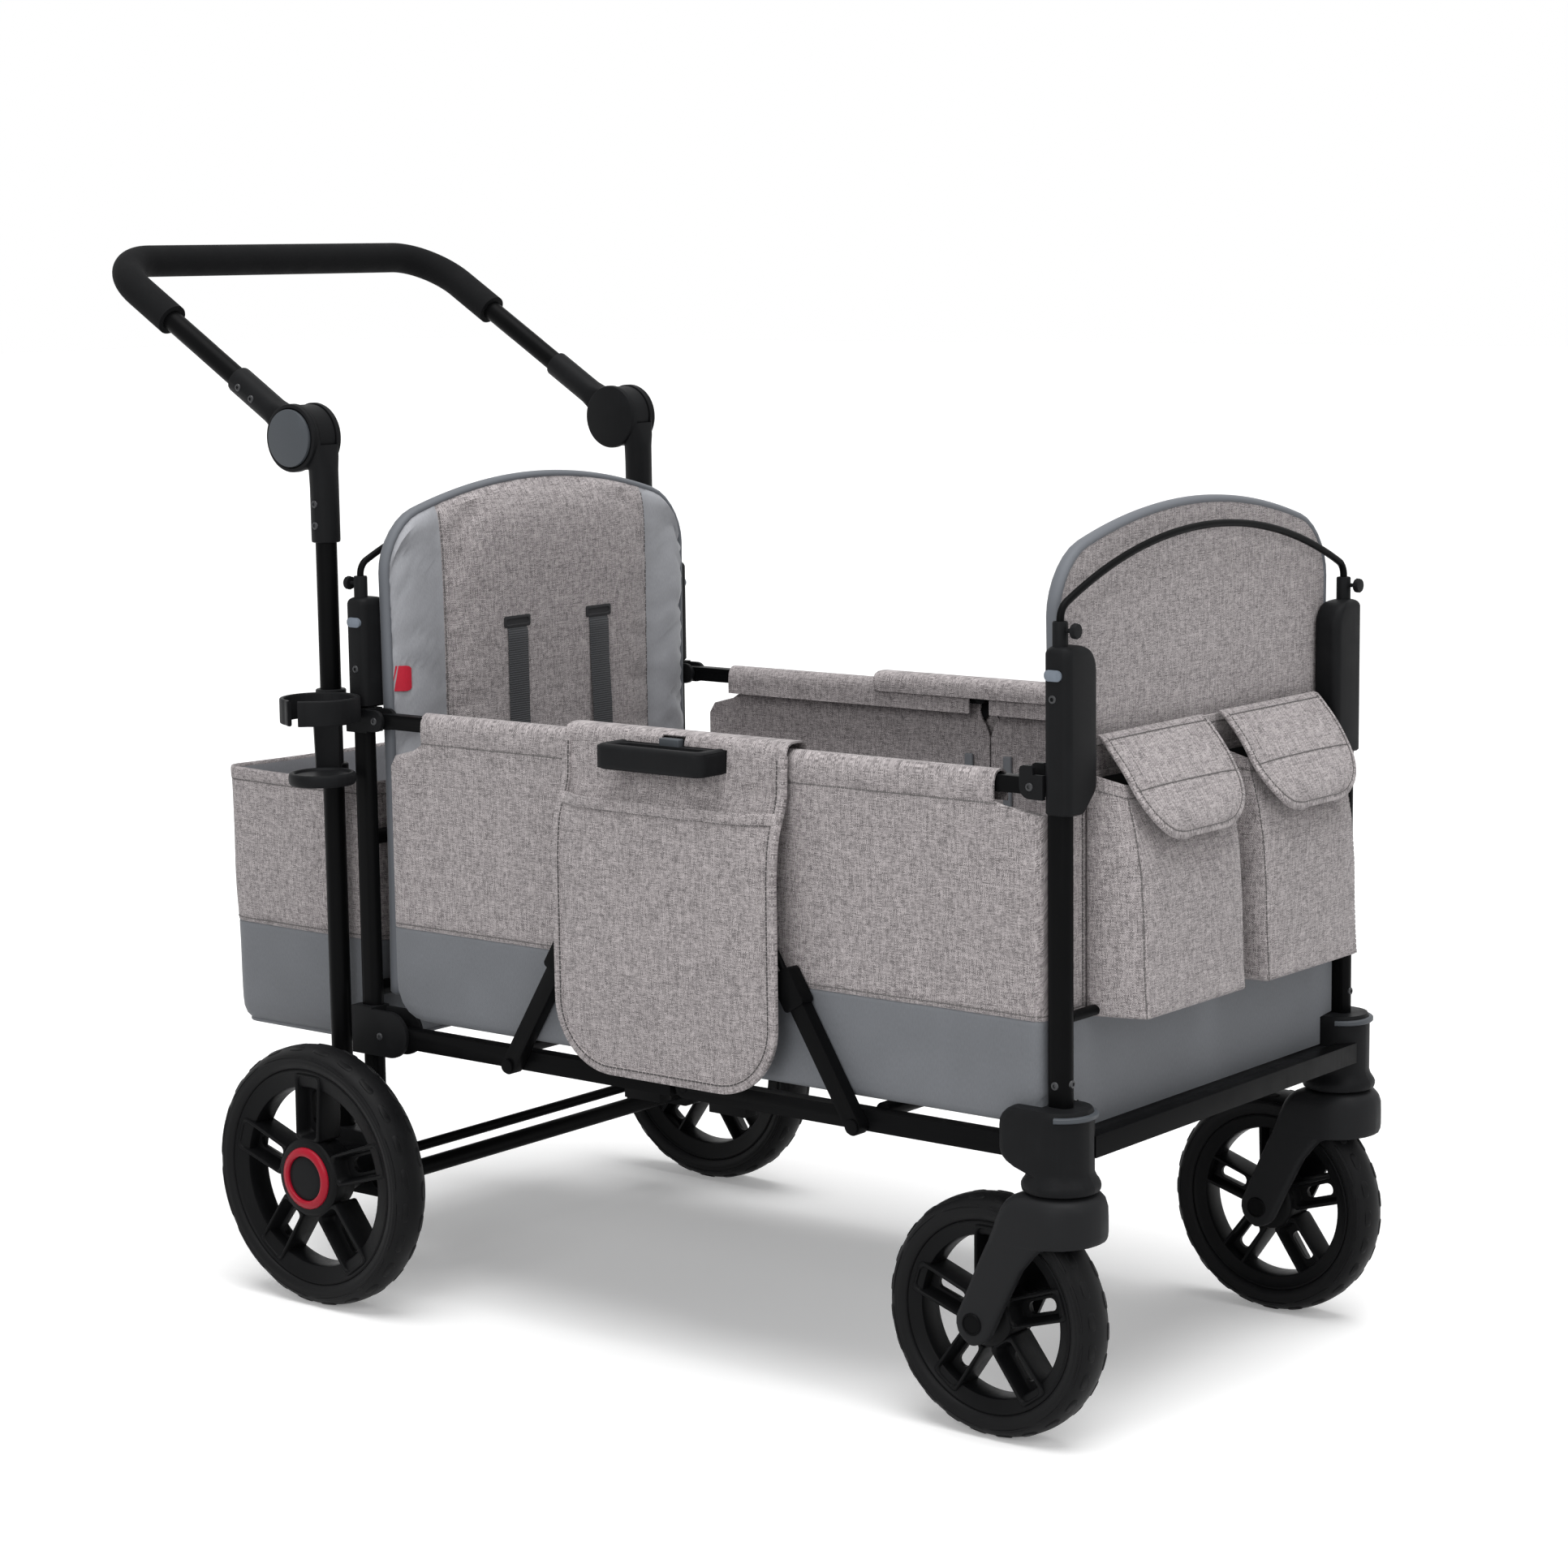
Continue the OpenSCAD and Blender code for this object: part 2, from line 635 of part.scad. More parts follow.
module rear_wheel_right() {
    inner = rear_wheel_mid - half_track - 16 - side_gap;
    color(plastic_black) at_rear_wheel()
        spoked_wheel(rear_r, spoke_w, inner, rear_hub_face - rear_wheel_mid, axle_r,
            rear_hub_face - 3 - rear_wheel_mid + side_gap);
}
module rear_tyre_left() { left() rear_tyre_right(); }
module rear_wheel_left() { left() rear_wheel_right(); }

// Push bar, drawn in the plane of its arms with local X along the arm
module along_arm() {
    translate([hub_x, 0, hub_z]) rotate([0, 180 + arm_angle, 0]) children();
}
module bar_sweep(start) {
    both_sides() {
        translate([start, -half_track, 0]) rotate([0, 90, 0])
            linear_extrude(arm_len - bar_bend - start) children();
        translate([arm_len - bar_bend, -half_track + bar_bend, 0]) rotate([0, 0, -90])
            rotate_extrude(angle = 90) translate([bar_bend, 0]) children();
    }
    translate([arm_len, half_track - bar_bend, 0]) rotate([90, 0, 0])
        linear_extrude(2 * (half_track - bar_bend)) children();
}
module push_bar() { color(frame_black) along_arm() bar_sweep(hub_r + 8) circle(tube_r); }
module foam_grip() {
    color(foam_black) along_arm() bar_sweep(foam_start) difference() {
        circle(foam_r);
        circle(tube_r + seat_gap);
    }
}
module hub_arms() {
    sleeve_r = tube_r + 3.5;
    color(plastic_black) both_sides() difference() {
        union() {
            pin(hub_x, hub_z, drum_r, drum_in, drum_out);
            along_arm() slab(drum_r - 12, hub_r + 7, drum_in, drum_out, -12, 12);
            along_arm() translate([hub_r + 2, -half_track, 0]) rotate([0, 90, 0])
                cylinder(r = sleeve_r, h = arm_sleeve_end - hub_r - 2);
        }
        pin(hub_x, hub_z, hub_pin_r + run_gap, drum_in - 1, drum_out + 1);
        along_arm() translate([hub_r + 8 - seat_gap, -half_track, 0]) rotate([0, 90, 0])
            cylinder(r = tube_r + seat_gap, h = 120);
    }
}
module hub_button() {
    color(slate) pin(hub_x, hub_z, hub_button_r, hub_out - 6 + hub_button_travel + side_gap, hub_out + 3);
}
module hub_button_right() { hub_button(); }
module hub_button_left() { left() hub_button(); }

// Floor: each half has two rails, cross bars and a board, and the halves meet in half-lap knuckles
floor_knuckle = 17;
module floor_rails(lap_in, lap_out, carries_pin) {
    half_h = floor_rail_h / 2;
    color(frame_black) {
        both_sides() {
            difference() {
                union() {
                    slab(pivot_reach, centre_x - floor_knuckle, floor_in, floor_out,
                        floor_pivot_z - half_h, floor_pivot_z + half_h);
                    pin(pivot_reach, floor_pivot_z, half_h, floor_in, floor_out);
                    slab(centre_x - floor_knuckle - 1, centre_x, lap_in, lap_out,
                        floor_pivot_z - half_h, floor_pivot_z + half_h);
                    pin(centre_x, floor_pivot_z, half_h, lap_in, lap_out);
                    slab(centre_x - 76, centre_x - 31, floor_in - 2, floor_out - 1,
                        floor_pivot_z - half_h - 9, floor_pivot_z - half_h + 2);
                }
                pin(pivot_reach, floor_pivot_z, bore_r, floor_in - 1, floor_out + 1);
                if (!carries_pin) pin(centre_x, floor_pivot_z, bore_r, floor_in - 1, floor_out + 1);
            }
            if (carries_pin) pin(centre_x, floor_pivot_z, pin_r, lap_in, floor_out + 0.5);
            pin(centre_x - strut_reach, strut_foot_z, pin_r, floor_out - 1, channel_out + seat_gap);
            pin(centre_x - strut_reach, strut_foot_z, pin_head_r, channel_out + seat_gap, channel_out + 2.5);
        }
        for (x = [pivot_reach + board_start + 10, centre_x - 24])
            cross_tube(x, board_z - seat_gap - cross_bar_d / 2, cross_bar_d / 2, floor_in + 2);
    }
}
module floor_board() {
    color(dark_grey) translate([0, 0, board_z]) linear_extrude(board_t)
        rounded2d(pivot_reach + board_start, centre_x - 3, -board_half_w, board_half_w, 12);
}
module rear_floor_rails() { floor_rails(floor_in, floor_rail_out - seat_gap / 2, true); }
module rear_floor_board() { floor_board(); }
module front_floor_rails() { fore_aft() floor_rails(floor_rail_out + seat_gap / 2, floor_out, false); }
module front_floor_board() { fore_aft() floor_board(); }

// Top rails, with the same half-lap knuckles at the middle
top_knuckle = 13;
module top_rails(lap_in, lap_out, end_bore) {
    half_h = top_rail_h / 2;
    color(frame_black) both_sides() difference() {
        union() {
            slab(pivot_reach, centre_x - top_knuckle, top_in, top_out,
                top_pivot_z - half_h, top_pivot_z + half_h);
            pin(pivot_reach, top_pivot_z, half_h, top_in, top_out);
            slab(centre_x - top_knuckle - 1, centre_x, lap_in, lap_out,
                top_pivot_z - half_h, top_pivot_z + half_h);
            pin(centre_x, top_pivot_z, half_h, lap_in, lap_out);
        }
        pin(pivot_reach, top_pivot_z, end_bore, top_in - 1, top_out + 1);
        pin(centre_x, top_pivot_z, bore_r, top_in - 1, top_out + 1);
    }
}
module rear_top_rails() { top_rails(top_in, half_track - seat_gap / 2, bore_r); }
module front_top_rails() { fore_aft() top_rails(half_track + seat_gap / 2, top_out, pin_r + open_pivot_gap); }

// Fold handle: a plate on the top knuckle pin, two strut pins below it, and a D loop to pull
plate_t = 3;
loop_in = strut_in + 4.8;
loop_depth = 40;
loop_half_w = 66;
loop_bar = 9.5;
loop_foot_z = top_pivot_z - 14;
loop_top_z = top_pivot_z + 7;
button_half_w = 12;
button_travel = 5;
module fold_handle() {
    top = [centre_x, top_pivot_z];
    feet = [for (s = [-1, 1]) [centre_x + s * strut_top_reach, strut_top_z]];
    difference() {
        union() {
            side_plate(strut_in, strut_in + plate_t) {
                for (f = feet) stadium2d(f, top, 9);
                stadium2d(feet[0], feet[1], 9);
            }
            slab(centre_x - loop_half_w, centre_x + loop_half_w, strut_in, loop_in + loop_bar / 2,
                loop_foot_z, loop_top_z);
            translate([0, 0, loop_foot_z]) linear_extrude(loop_top_z - loop_foot_z)
                rounded2d(centre_x - loop_half_w, centre_x + loop_half_w, -loop_in - loop_depth, -loop_in, 9);
        }
        translate([0, 0, loop_foot_z - 1]) linear_extrude(loop_top_z - loop_foot_z + 2)
            rounded2d(centre_x - loop_half_w + 12, centre_x + loop_half_w - 12,
                -loop_in - loop_depth + loop_bar, -loop_in - loop_bar, 7);
        slab(centre_x - button_half_w - seat_gap, centre_x + button_half_w + seat_gap,
            loop_in - 2, loop_in + loop_bar - 2, loop_top_z - 12, loop_top_z + 1);
    }
    pin(centre_x, top_pivot_z, pin_r, top_in - 3, strut_in + 1);
    pin(centre_x, top_pivot_z, pin_head_r, top_in - 3, top_in - seat_gap);
    for (f = feet) {
        pin(f[0], f[1], pin_r, strut_in + plate_t - 1, rod_out + rod_d / 2 + seat_gap);
        pin(f[0], f[1], pin_head_r, rod_out + rod_d / 2 + seat_gap, rod_out + rod_d / 2 + 2);
    }
}
module fold_handles() { color(plastic_black) both_sides() fold_handle(); }
module fold_button() {
    color(slate) slab(centre_x - button_half_w, centre_x + button_half_w, loop_in - 2 + seat_gap,
        loop_in + loop_bar - 2 - seat_gap, loop_top_z - 12 + button_travel + 0.5, loop_top_z + 7);
}
module fold_button_right() { fold_button(); }
module fold_button_left() { left() fold_button(); }

// Hanging side flap: flat behind the fold handle, standing proud below its pocket hem
module side_flaps() {
    top_face = strut_in + 0.3;
    hem_z = strut_top_z + 15;
    low_corner = 85;
    color(heather) both_sides() difference() {
        intersection() {
            end_plate(centre_x - flap_half_w, centre_x + flap_half_w) polygon([
                [-top_face, hem_top_z + 2], [-top_face - plate_t, hem_top_z + 2],
                [-top_face - plate_t, hem_z + 12], [-flap_in - flap_t, hem_z],
                [-flap_in - flap_t, flap_foot_z], [-flap_in, flap_foot_z],
                [-flap_in, hem_z - 2], [-top_face, hem_z + 12]
            ]);
            side_plate(strut_in - 5, flap_in + flap_t + 5) {
                block2d(centre_x - flap_half_w, centre_x + flap_half_w,
                    flap_foot_z + low_corner, hem_top_z + 5);
                block2d(centre_x - flap_half_w + low_corner, centre_x + flap_half_w - low_corner,
                    flap_foot_z, hem_top_z + 5);
                for (s = [-1, 1])
                    disc2d(centre_x + s * (flap_half_w - low_corner), flap_foot_z + low_corner, low_corner);
            }
        }
        slab(centre_x - loop_half_w - seat_gap, centre_x + loop_half_w + seat_gap, strut_in - 1,
            strut_in + plate_t + 2, hem_z, loop_top_z + 4);
        slab(centre_x - button_half_w - 2, centre_x + button_half_w + 2, strut_in - 1,
            strut_in + plate_t + 2, loop_top_z, loop_top_z + 12);
    }
}

// Telescoping struts: a rod on the fold handle slides in a channel on the floor rail
module along_strut() {
    translate([centre_x - strut_reach, 0, strut_foot_z]) rotate([0, -strut_angle, 0]) children();
}
module strut_channels() {
    inner_half = channel_half_w - channel_wall;
    color(frame_black) both_sides() along_strut() difference() {
        union() {
            difference() {
                union() {
                    side_plate(strut_in, channel_out) {
                        disc2d(0, 0, channel_half_w);
                        block2d(0, sleeve_to, -channel_half_w, channel_half_w);
                    }
                    side_plate(strut_in, sleeve_out)
                        rounded2d(sleeve_from, sleeve_to, -channel_half_w - 4, channel_half_w + 4, 4);
                }
                slab(-1, sleeve_to + 1, strut_in - 1, channel_out - 2.5, -inner_half, inner_half);
            }
            pin(0, 0, pin_r + 3, strut_in, channel_out - 2);
        }
        pin(0, 0, bore_r, strut_in - 1, channel_out + 1);
    }
}
module strut_rods() {
    eye_t = rod_d / 2 - seat_gap;
    color(frame_black) both_sides() along_strut() difference() {
        union() {
            translate([rod_end_gap, -rod_out, 0]) rotate([0, 90, 0])
                cylinder(r = rod_d / 2, h = strut_len - rod_end_gap);
            pin(strut_len, 0, pin_head_r, rod_out - eye_t, rod_out + eye_t);
        }
        pin(strut_len, 0, bore_r, rod_out - 6, rod_out + 6);
    }
}
module rear_strut_channels() { strut_channels(); }
module rear_strut_rods() { strut_rods(); }
module front_strut_channels() { fore_aft() strut_channels(); }
module front_strut_rods() { fore_aft() strut_rods(); }

// Fabric side walls hang from a hem that wraps the top rail, in two halves a side
module side_wall(x0, x1, hem0, hem1) {
    color(heather) both_sides() {
        slab(x0, x1, wall_out - cloth_t, wall_out, wall_foot_z, hem_foot_z);
        difference() {
            slab(hem0, hem1, hem_in, wall_out, hem_foot_z, hem_top_z);
            slab(hem0 - 1, hem1 + 1, hem_in + cloth_t, wall_out - cloth_t,
                hem_foot_z - 1, hem_top_z - cloth_t);
        }
    }
}
module rear_side_walls() {
    side_wall(wall_rear_x, centre_x - wall_centre_gap, pivot_reach + hem_inset, centre_x - wall_centre_gap);
}
module front_side_walls() {
    side_wall(centre_x + wall_centre_gap, wall_front_x, centre_x + wall_centre_gap,
        post_gap - pivot_reach - hem_inset + 24);
}
module wall_battens() {
    x = centre_x - batten_inset;
    outer = wall_out - cloth_t - seat_gap;
    color(dark_grey) both_sides()
        slab(x - batten_w, x, outer - batten_t, outer, batten_foot_z, batten_top_z);
}
module rear_wall_battens() { wall_battens(); }
module front_wall_battens() { fore_aft() wall_battens(); }

// Front end
front_rail_x = post_gap + 20;
front_rail_end = half_track - 14;
module front_rail(gap) {
    slab(front_rail_x - 8 - gap, front_rail_x + 8 + gap, -front_rail_end - gap, front_rail_end + gap,
        floor_pivot_z - 6 - gap, floor_pivot_z + 14 + gap);
}
module front_frame() {
    color(frame_black) {
        both_sides() post_bar(post_gap, bracket_top_z - 14, post_top, 0);
        cross_tube(post_gap + 6, panel_bar_z, 5, post_in + 3);
        front_rail(0);
    }
}
front_housing_foot = top_pivot_z - 24;
module front_housings() {
    prong_r = top_rail_h / 2 + 3.5;
    face = post_gap - post_w / 2;
    pivot = post_gap - pivot_reach;
    color(plastic_black) both_sides() {
        difference() {
            corner_housing(face, post_gap + post_w / 2 + 4, front_housing_foot);
            button_pocket(post_gap);
        }
        bow_socket(post_gap, 1);
        rail_cheeks(pivot, top_pivot_z, top_in, top_out, side_gap, pin_r) {
            block2d(pivot, face + 1, top_pivot_z - prong_r, top_pivot_z + prong_r);
            block2d(pivot - prong_r, pivot + 3, top_pivot_z, top_pivot_z + 19);
            disc2d(pivot, top_pivot_z, prong_r);
        }
    }
}
module front_button_right() { housing_button(post_gap); }
module front_button_left() { left() housing_button(post_gap); }
module front_bow() { bow(post_gap, 1); }
module front_seat_back() {
    color(heather) translate([front_seat_x, 0, seat_foot_z]) mirror([1, 0, 0]) seat_back();
}
module front_seat_pad() { color(heather) fore_aft() seat_pad(); }
module front_panel() {
    wide = post_in - 2;
    narrow = housing_in - 3;
    low = half_track - 32;
    color(heather) end_plate(panel_x, panel_x + cloth_t) {
        block2d(-low, low, wall_foot_z, front_housing_foot - 5);
        block2d(-wide, wide, bracket_top_z + 2, front_housing_foot - 3);
        block2d(-narrow, narrow, front_housing_foot - 4, panel_lid_z);
    }
}
module front_pockets() {
    wall = 3;
    corner = 14;
    color(heather) both_sides() difference() {
        translate([0, 0, pocket_foot_z]) linear_extrude(pocket_top_z - pocket_foot_z) {
            rounded2d(pocket_x, pocket_front, -pocket_out, -pocket_in, corner);
            block2d(pocket_x, pocket_x + corner, -pocket_out, -pocket_in);
        }
        translate([0, 0, pocket_foot_z + wall]) linear_extrude(pocket_top_z) {
            rounded2d(pocket_x + wall, pocket_front - wall, -pocket_out + wall, -pocket_in - wall,
                corner - wall);
            block2d(pocket_x + wall, pocket_x + corner, -pocket_out + wall, -pocket_in - wall);
        }
    }
}
// Pocket lid: sewn to the panel by a rolled seam, sloping forward and turning down over the pocket
seam_r = 3;
seam_x = panel_x + cloth_t + seam_r + seat_gap;
module pocket_lid() {
    inner = pocket_front + side_gap;
    brow_z = pocket_top_z + 6;
    low = pocket_top_z - lid_drop;
    corner = 40;
    color(heather) {
        intersection() {
            side_plate(pocket_in + 1, pocket_out + 2) {
                polygon([
                    [seam_x + 1, panel_lid_z + 2], [inner + lid_t, brow_z + lid_t], [inner + lid_t, low],
                    [inner, low], [inner, brow_z], [seam_x + 1, panel_lid_z - 2]
                ]);
            }
            end_plate(seam_x - 5, inner + lid_t + 5) {
                block2d(-pocket_out - 2, -pocket_in - 1, low + corner, panel_lid_z + 5);
                block2d(-pocket_out - 2 + corner, -pocket_in - 1 - corner, low, panel_lid_z + 5);
                for (y = [-pocket_out - 2 + corner, -pocket_in - 1 - corner]) disc2d(y, low + corner, corner);
            }
        }
        pin(seam_x, panel_lid_z, seam_r, pocket_in + 1, pocket_out + 2);
    }
}
module pocket_lid_right() { pocket_lid(); }
module pocket_lid_left() { left() pocket_lid(); }

// Casters: a bracket under each front post carries a fork on an upright stem
stem_r = 10;
bracket_r = 30;
collar_r = 36;
stem_top_z = bracket_top_z - 22;
module caster_brackets() {
    pivot = post_gap - pivot_reach;
    lobe_r = 26;
    lobe_x = pivot - 6;
    color(plastic_black) both_sides() {
        difference() {
            union() {
                translate([post_gap, -half_track, bracket_foot_z]) rotate_extrude() {
                    block2d(0, bracket_r, 0, bracket_top_z - bracket_foot_z);
                    polygon([[0, 0], [collar_r - 2, 0], [collar_r, 4], [collar_r, 8],
                        [bracket_r, 20], [0, 20]]);
                }
                side_plate(floor_in - side_gap - 9, floor_out + side_gap + 7) {
                    disc2d(lobe_x, floor_pivot_z + 8, lobe_r);
                    block2d(lobe_x, post_gap, floor_pivot_z - 18, floor_pivot_z + 34);
                }
            }
            slab(lobe_x - 40, post_gap - post_w / 2, floor_in - side_gap, floor_out + side_gap,
                bracket_foot_z - 1, bracket_top_z + 20);
            front_rail(seat_gap);
            post_bar(post_gap, bracket_top_z - 14 - seat_gap, bracket_top_z + 1, seat_gap);
            translate([post_gap, -half_track, bracket_foot_z - 1])
                cylinder(r = stem_r + run_gap, h = stem_top_z + seat_gap - bracket_foot_z + 1);
        }
        pin(pivot, floor_pivot_z, pin_r, floor_in - side_gap - 1, floor_out + side_gap + 1);
    }
}
module fork() {
    crown_top = bracket_foot_z - seat_gap;
    crown_foot = front_r + 90;
    crown_r = fork_half_w;
    hip = [post_gap - 22, crown_foot + 16];
    color(plastic_black) difference() {
        union() {
            intersection() {
                side_plate(half_track - fork_half_w, half_track + fork_half_w) {
                    rounded2d(post_gap - 46, post_gap + crown_r, crown_foot, crown_top, 10);
                    block2d(post_gap - 20, post_gap + 20, crown_top - 12, crown_top);
                }
                translate([post_gap - 12, -half_track, crown_foot - 5]) cylinder(r = 58, h = 80);
            }
            for (o = [half_track - fork_half_w, half_track + fork_cheek_in - 1]) {
                side_plate(o, o + fork_leg_t + 1) stadium2d([front_axle_x, front_r], hip, 20, 0.6);
            }
            for (s = [-1, 1]) {
                cap = half_track + s * (fork_half_w - 1);
                pin(front_axle_x, front_r, 11, cap - 3, cap + 3);
            }
        }
        pin(front_axle_x, front_r, front_r + 4, half_track - fork_cheek_in, half_track + fork_cheek_in);
    }
    color(plastic_black) {
        translate([post_gap, -half_track, crown_top - 2])
            cylinder(r = stem_r, h = stem_top_z - crown_top + 2);
        pin(front_axle_x, front_r, front_axle_r, half_track - fork_half_w + 1, half_track + fork_half_w - 1);
    }
}
module fork_right() { fork(); }
module fork_left() { left() fork(); }
front_spoke_w = spoke_w * 0.8;
module at_front_wheel() { translate([front_axle_x, -half_track, front_r]) children(); }
module front_tyre_right() { color(tyre_black) at_front_wheel() tyre(front_r); }
module front_wheel_right() {
    hub = fork_cheek_in - side_gap;
    color(plastic_black) at_front_wheel()
        spoked_wheel(front_r, front_spoke_w, hub, hub, front_axle_r, hub + 1);
}
module front_tyre_left() { left() front_tyre_right(); }
module front_wheel_left() { left() front_wheel_right(); }

placed() rear_frame();
placed() axle_housings();
placed() rear_axle();
placed() brake_bar();
placed() handle_poles();
placed() hub_bases();
placed() rear_housings();
placed() rear_button_right();
placed() rear_button_left();
placed() pivot_brackets();
placed() rear_bow();
placed() rear_seat_back();
placed() rear_seat_pad();
placed() storage_bag();
placed() cup_holder();
placed() rear_tyre_right();
placed() rear_wheel_right();
placed() rear_tyre_left();
placed() rear_wheel_left();
placed() push_bar();
placed() foam_grip();
placed() hub_arms();
placed() hub_button_right();
placed() hub_button_left();
placed() rear_floor_rails();
placed() rear_floor_board();
placed() front_floor_rails();
placed() front_floor_board();
placed() rear_top_rails();
placed() front_top_rails();
placed() fold_handles();
placed() side_flaps();
placed() fold_button_right();
placed() fold_button_left();
placed() rear_strut_channels();
placed() rear_strut_rods();
placed() front_strut_channels();
placed() front_strut_rods();
placed() rear_side_walls();
placed() front_side_walls();
placed() rear_wall_battens();
placed() front_wall_battens();
placed() front_frame();
placed() front_housings();
placed() front_button_right();
placed() front_button_left();
placed() front_bow();
placed() front_seat_back();
placed() front_seat_pad();
placed() front_panel();
placed() front_pockets();
placed() pocket_lid_right();
placed() pocket_lid_left();
placed() caster_brackets();
placed() fork_right();
placed() fork_left();
placed() front_tyre_right();
placed() front_wheel_right();
placed() front_tyre_left();
placed() front_wheel_left();
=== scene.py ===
import json
import math

import bmesh
import bpy
from bpy.props import FloatProperty, FloatVectorProperty, IntProperty, PointerProperty
from bpy.types import NodeSocket, Operator, Panel, PropertyGroup
from mathutils import Matrix, Vector, noise


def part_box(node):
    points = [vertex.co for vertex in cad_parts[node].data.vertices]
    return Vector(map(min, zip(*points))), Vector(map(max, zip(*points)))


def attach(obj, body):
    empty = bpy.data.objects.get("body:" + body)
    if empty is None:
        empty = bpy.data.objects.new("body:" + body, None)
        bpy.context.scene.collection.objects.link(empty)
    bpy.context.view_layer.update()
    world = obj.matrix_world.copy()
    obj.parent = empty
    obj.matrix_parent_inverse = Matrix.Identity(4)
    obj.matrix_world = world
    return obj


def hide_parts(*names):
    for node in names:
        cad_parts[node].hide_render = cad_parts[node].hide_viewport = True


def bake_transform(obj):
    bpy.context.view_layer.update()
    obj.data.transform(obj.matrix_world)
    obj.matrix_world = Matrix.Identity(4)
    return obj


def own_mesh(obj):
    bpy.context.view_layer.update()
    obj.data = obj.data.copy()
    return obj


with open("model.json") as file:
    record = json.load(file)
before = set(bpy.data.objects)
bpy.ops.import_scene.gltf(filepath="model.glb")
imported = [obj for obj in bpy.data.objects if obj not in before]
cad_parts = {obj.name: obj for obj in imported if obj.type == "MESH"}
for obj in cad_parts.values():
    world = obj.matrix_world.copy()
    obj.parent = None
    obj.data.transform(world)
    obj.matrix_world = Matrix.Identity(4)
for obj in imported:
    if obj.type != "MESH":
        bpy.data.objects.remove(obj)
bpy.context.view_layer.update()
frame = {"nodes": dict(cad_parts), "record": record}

bl_info = {
    "name": "Stroller Wagon Dressing",
    "version": (1, 0, 0),
    "blender": (4, 5, 0),
    "location": "3D View > Sidebar > Wagon",
    "description": "Dresses the frame of a folding stroller wagon with cloth, wheels, fittings and a studio",
    "category": "Object",
}

BODY_OF = {n: b for b, ns in frame["record"]["behaviour"]["bodies"].items() for n in ns}
SIDES = (("right", -1), ("left", 1))
QUARTER = math.pi / 2
UP = Vector((0, 0, 1))
MM = 0.001
POST_X = sum(corner.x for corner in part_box("rear_frame")) / 2

# Main places of the wagon, in millimetres from the rear posts
HALF_TRACK = 246.0
POST_GAP = 860.0
CENTRE_X = 430.0
FLOOR_Z = 276.0
TOP_Z = 603.0
BAND_Z = 392.0
HUB = (-74.5, 0, 889)
ARM_TURN = math.pi - math.radians(31.5)
POLE_X = -48.0
FRONT_AXLE = (POST_GAP - 69, HALF_TRACK, 113.5)


def at(x, y, z):
    """A point given in millimetres from the rear posts, in the frame's metres."""
    return Vector((POST_X + x * MM, y * MM, z * MM))


def same(p):
    return p


def mirror_y(p):
    return Vector((p.x, -p.y, p.z))


def lerp(a, b, t):
    return a + (b - a) * t


def ease(t):
    t = min(1.0, max(0.0, t))
    return t * t * (3 - 2 * t)


def spread(n, lo=0.0, hi=1.0):
    return [lerp(lo, hi, k / (n - 1)) for k in range(n)]


def ripple(a, b, c):
    """Smooth noise between about -1 and 1."""
    return noise.noise(Vector((a, b, c)))


def corner_drop(d, radius):
    """How far a rounded corner falls away, d before its edge ends."""
    over = max(0.0, radius - d)
    return radius - math.sqrt(max(0.0, radius * radius - over * over))


def index_in(values, x):
    """Fractional place of x in a rising row."""
    for k, (a, b) in enumerate(zip(values, values[1:])):
        if a <= x <= b:
            return k + (x - a) / (b - a)
    raise ValueError("%g lies outside its row" % x)


def table_value(table, key):
    """Value at a key of a rising table of (key, value), level beyond its ends."""
    for (k0, v0), (k1, v1) in zip(table, table[1:]):
        if key <= k1:
            return lerp(v0, v1, max(0.0, (key - k0) / (k1 - k0)))
    return table[-1][1]


def arc(a, b, radius, start, end, count):
    return [(a + radius * math.cos(t), b + radius * math.sin(t)) for t in spread(count, start, end)]


def both_halves(half):
    """A half outline of (across, along) and its mirror image, with a point on the axis kept once."""
    return half + [(-a, b) for a, b in reversed(half) if abs(a) > 1e-9]


def run_along(points):
    """Distance of each point along a path."""
    runs = [0.0]
    for a, b in zip(points, points[1:]):
        runs.append(runs[-1] + (b - a).length)
    return runs


# ---- settings ----


def colour(label, text, default):
    return FloatVectorProperty(name=label, description=text, subtype="COLOR", size=3, default=default)


def distance(label, text, default, low, high):
    return FloatProperty(name=label, description=text, subtype="DISTANCE", unit="LENGTH",
                         default=default, min=low, max=high)


class WagonCloth(PropertyGroup):
    """Colours and weave of the fabric."""

    heather_light: colour("Heather Light", "Pale threads of the heather cloth", (0.515, 0.472, 0.475))
    heather_dark: colour("Heather Dark", "Dark threads of the heather cloth", (0.152, 0.138, 0.140))
    band: colour("Lower Band", "Smooth cloth of the lower band", (0.150, 0.158, 0.172))
    bolster: colour("Bolsters", "Smooth cloth of the seat bolsters", (0.320, 0.326, 0.348))
    # The piping is the bolster cloth drawn much darker; its darker tone is painted shade on the corded edge
    piping: colour("Piping", "Corded edge of the seat backs", (0.125, 0.134, 0.150))
    tag: colour("Red Trim", "Hub rings and the plain sewn tag", (0.46, 0.006, 0.026))
    thread_pitch: distance("Thread Pitch", "Distance between woven threads", 0.0011, 0.0004, 0.004)
    stitch_length: distance("Stitch Length", "Visible length of one stitch", 0.0036, 0.001, 0.01)
    stitch_gap: distance("Stitch Gap", "Gap between stitches", 0.0011, 0.0005, 0.006)


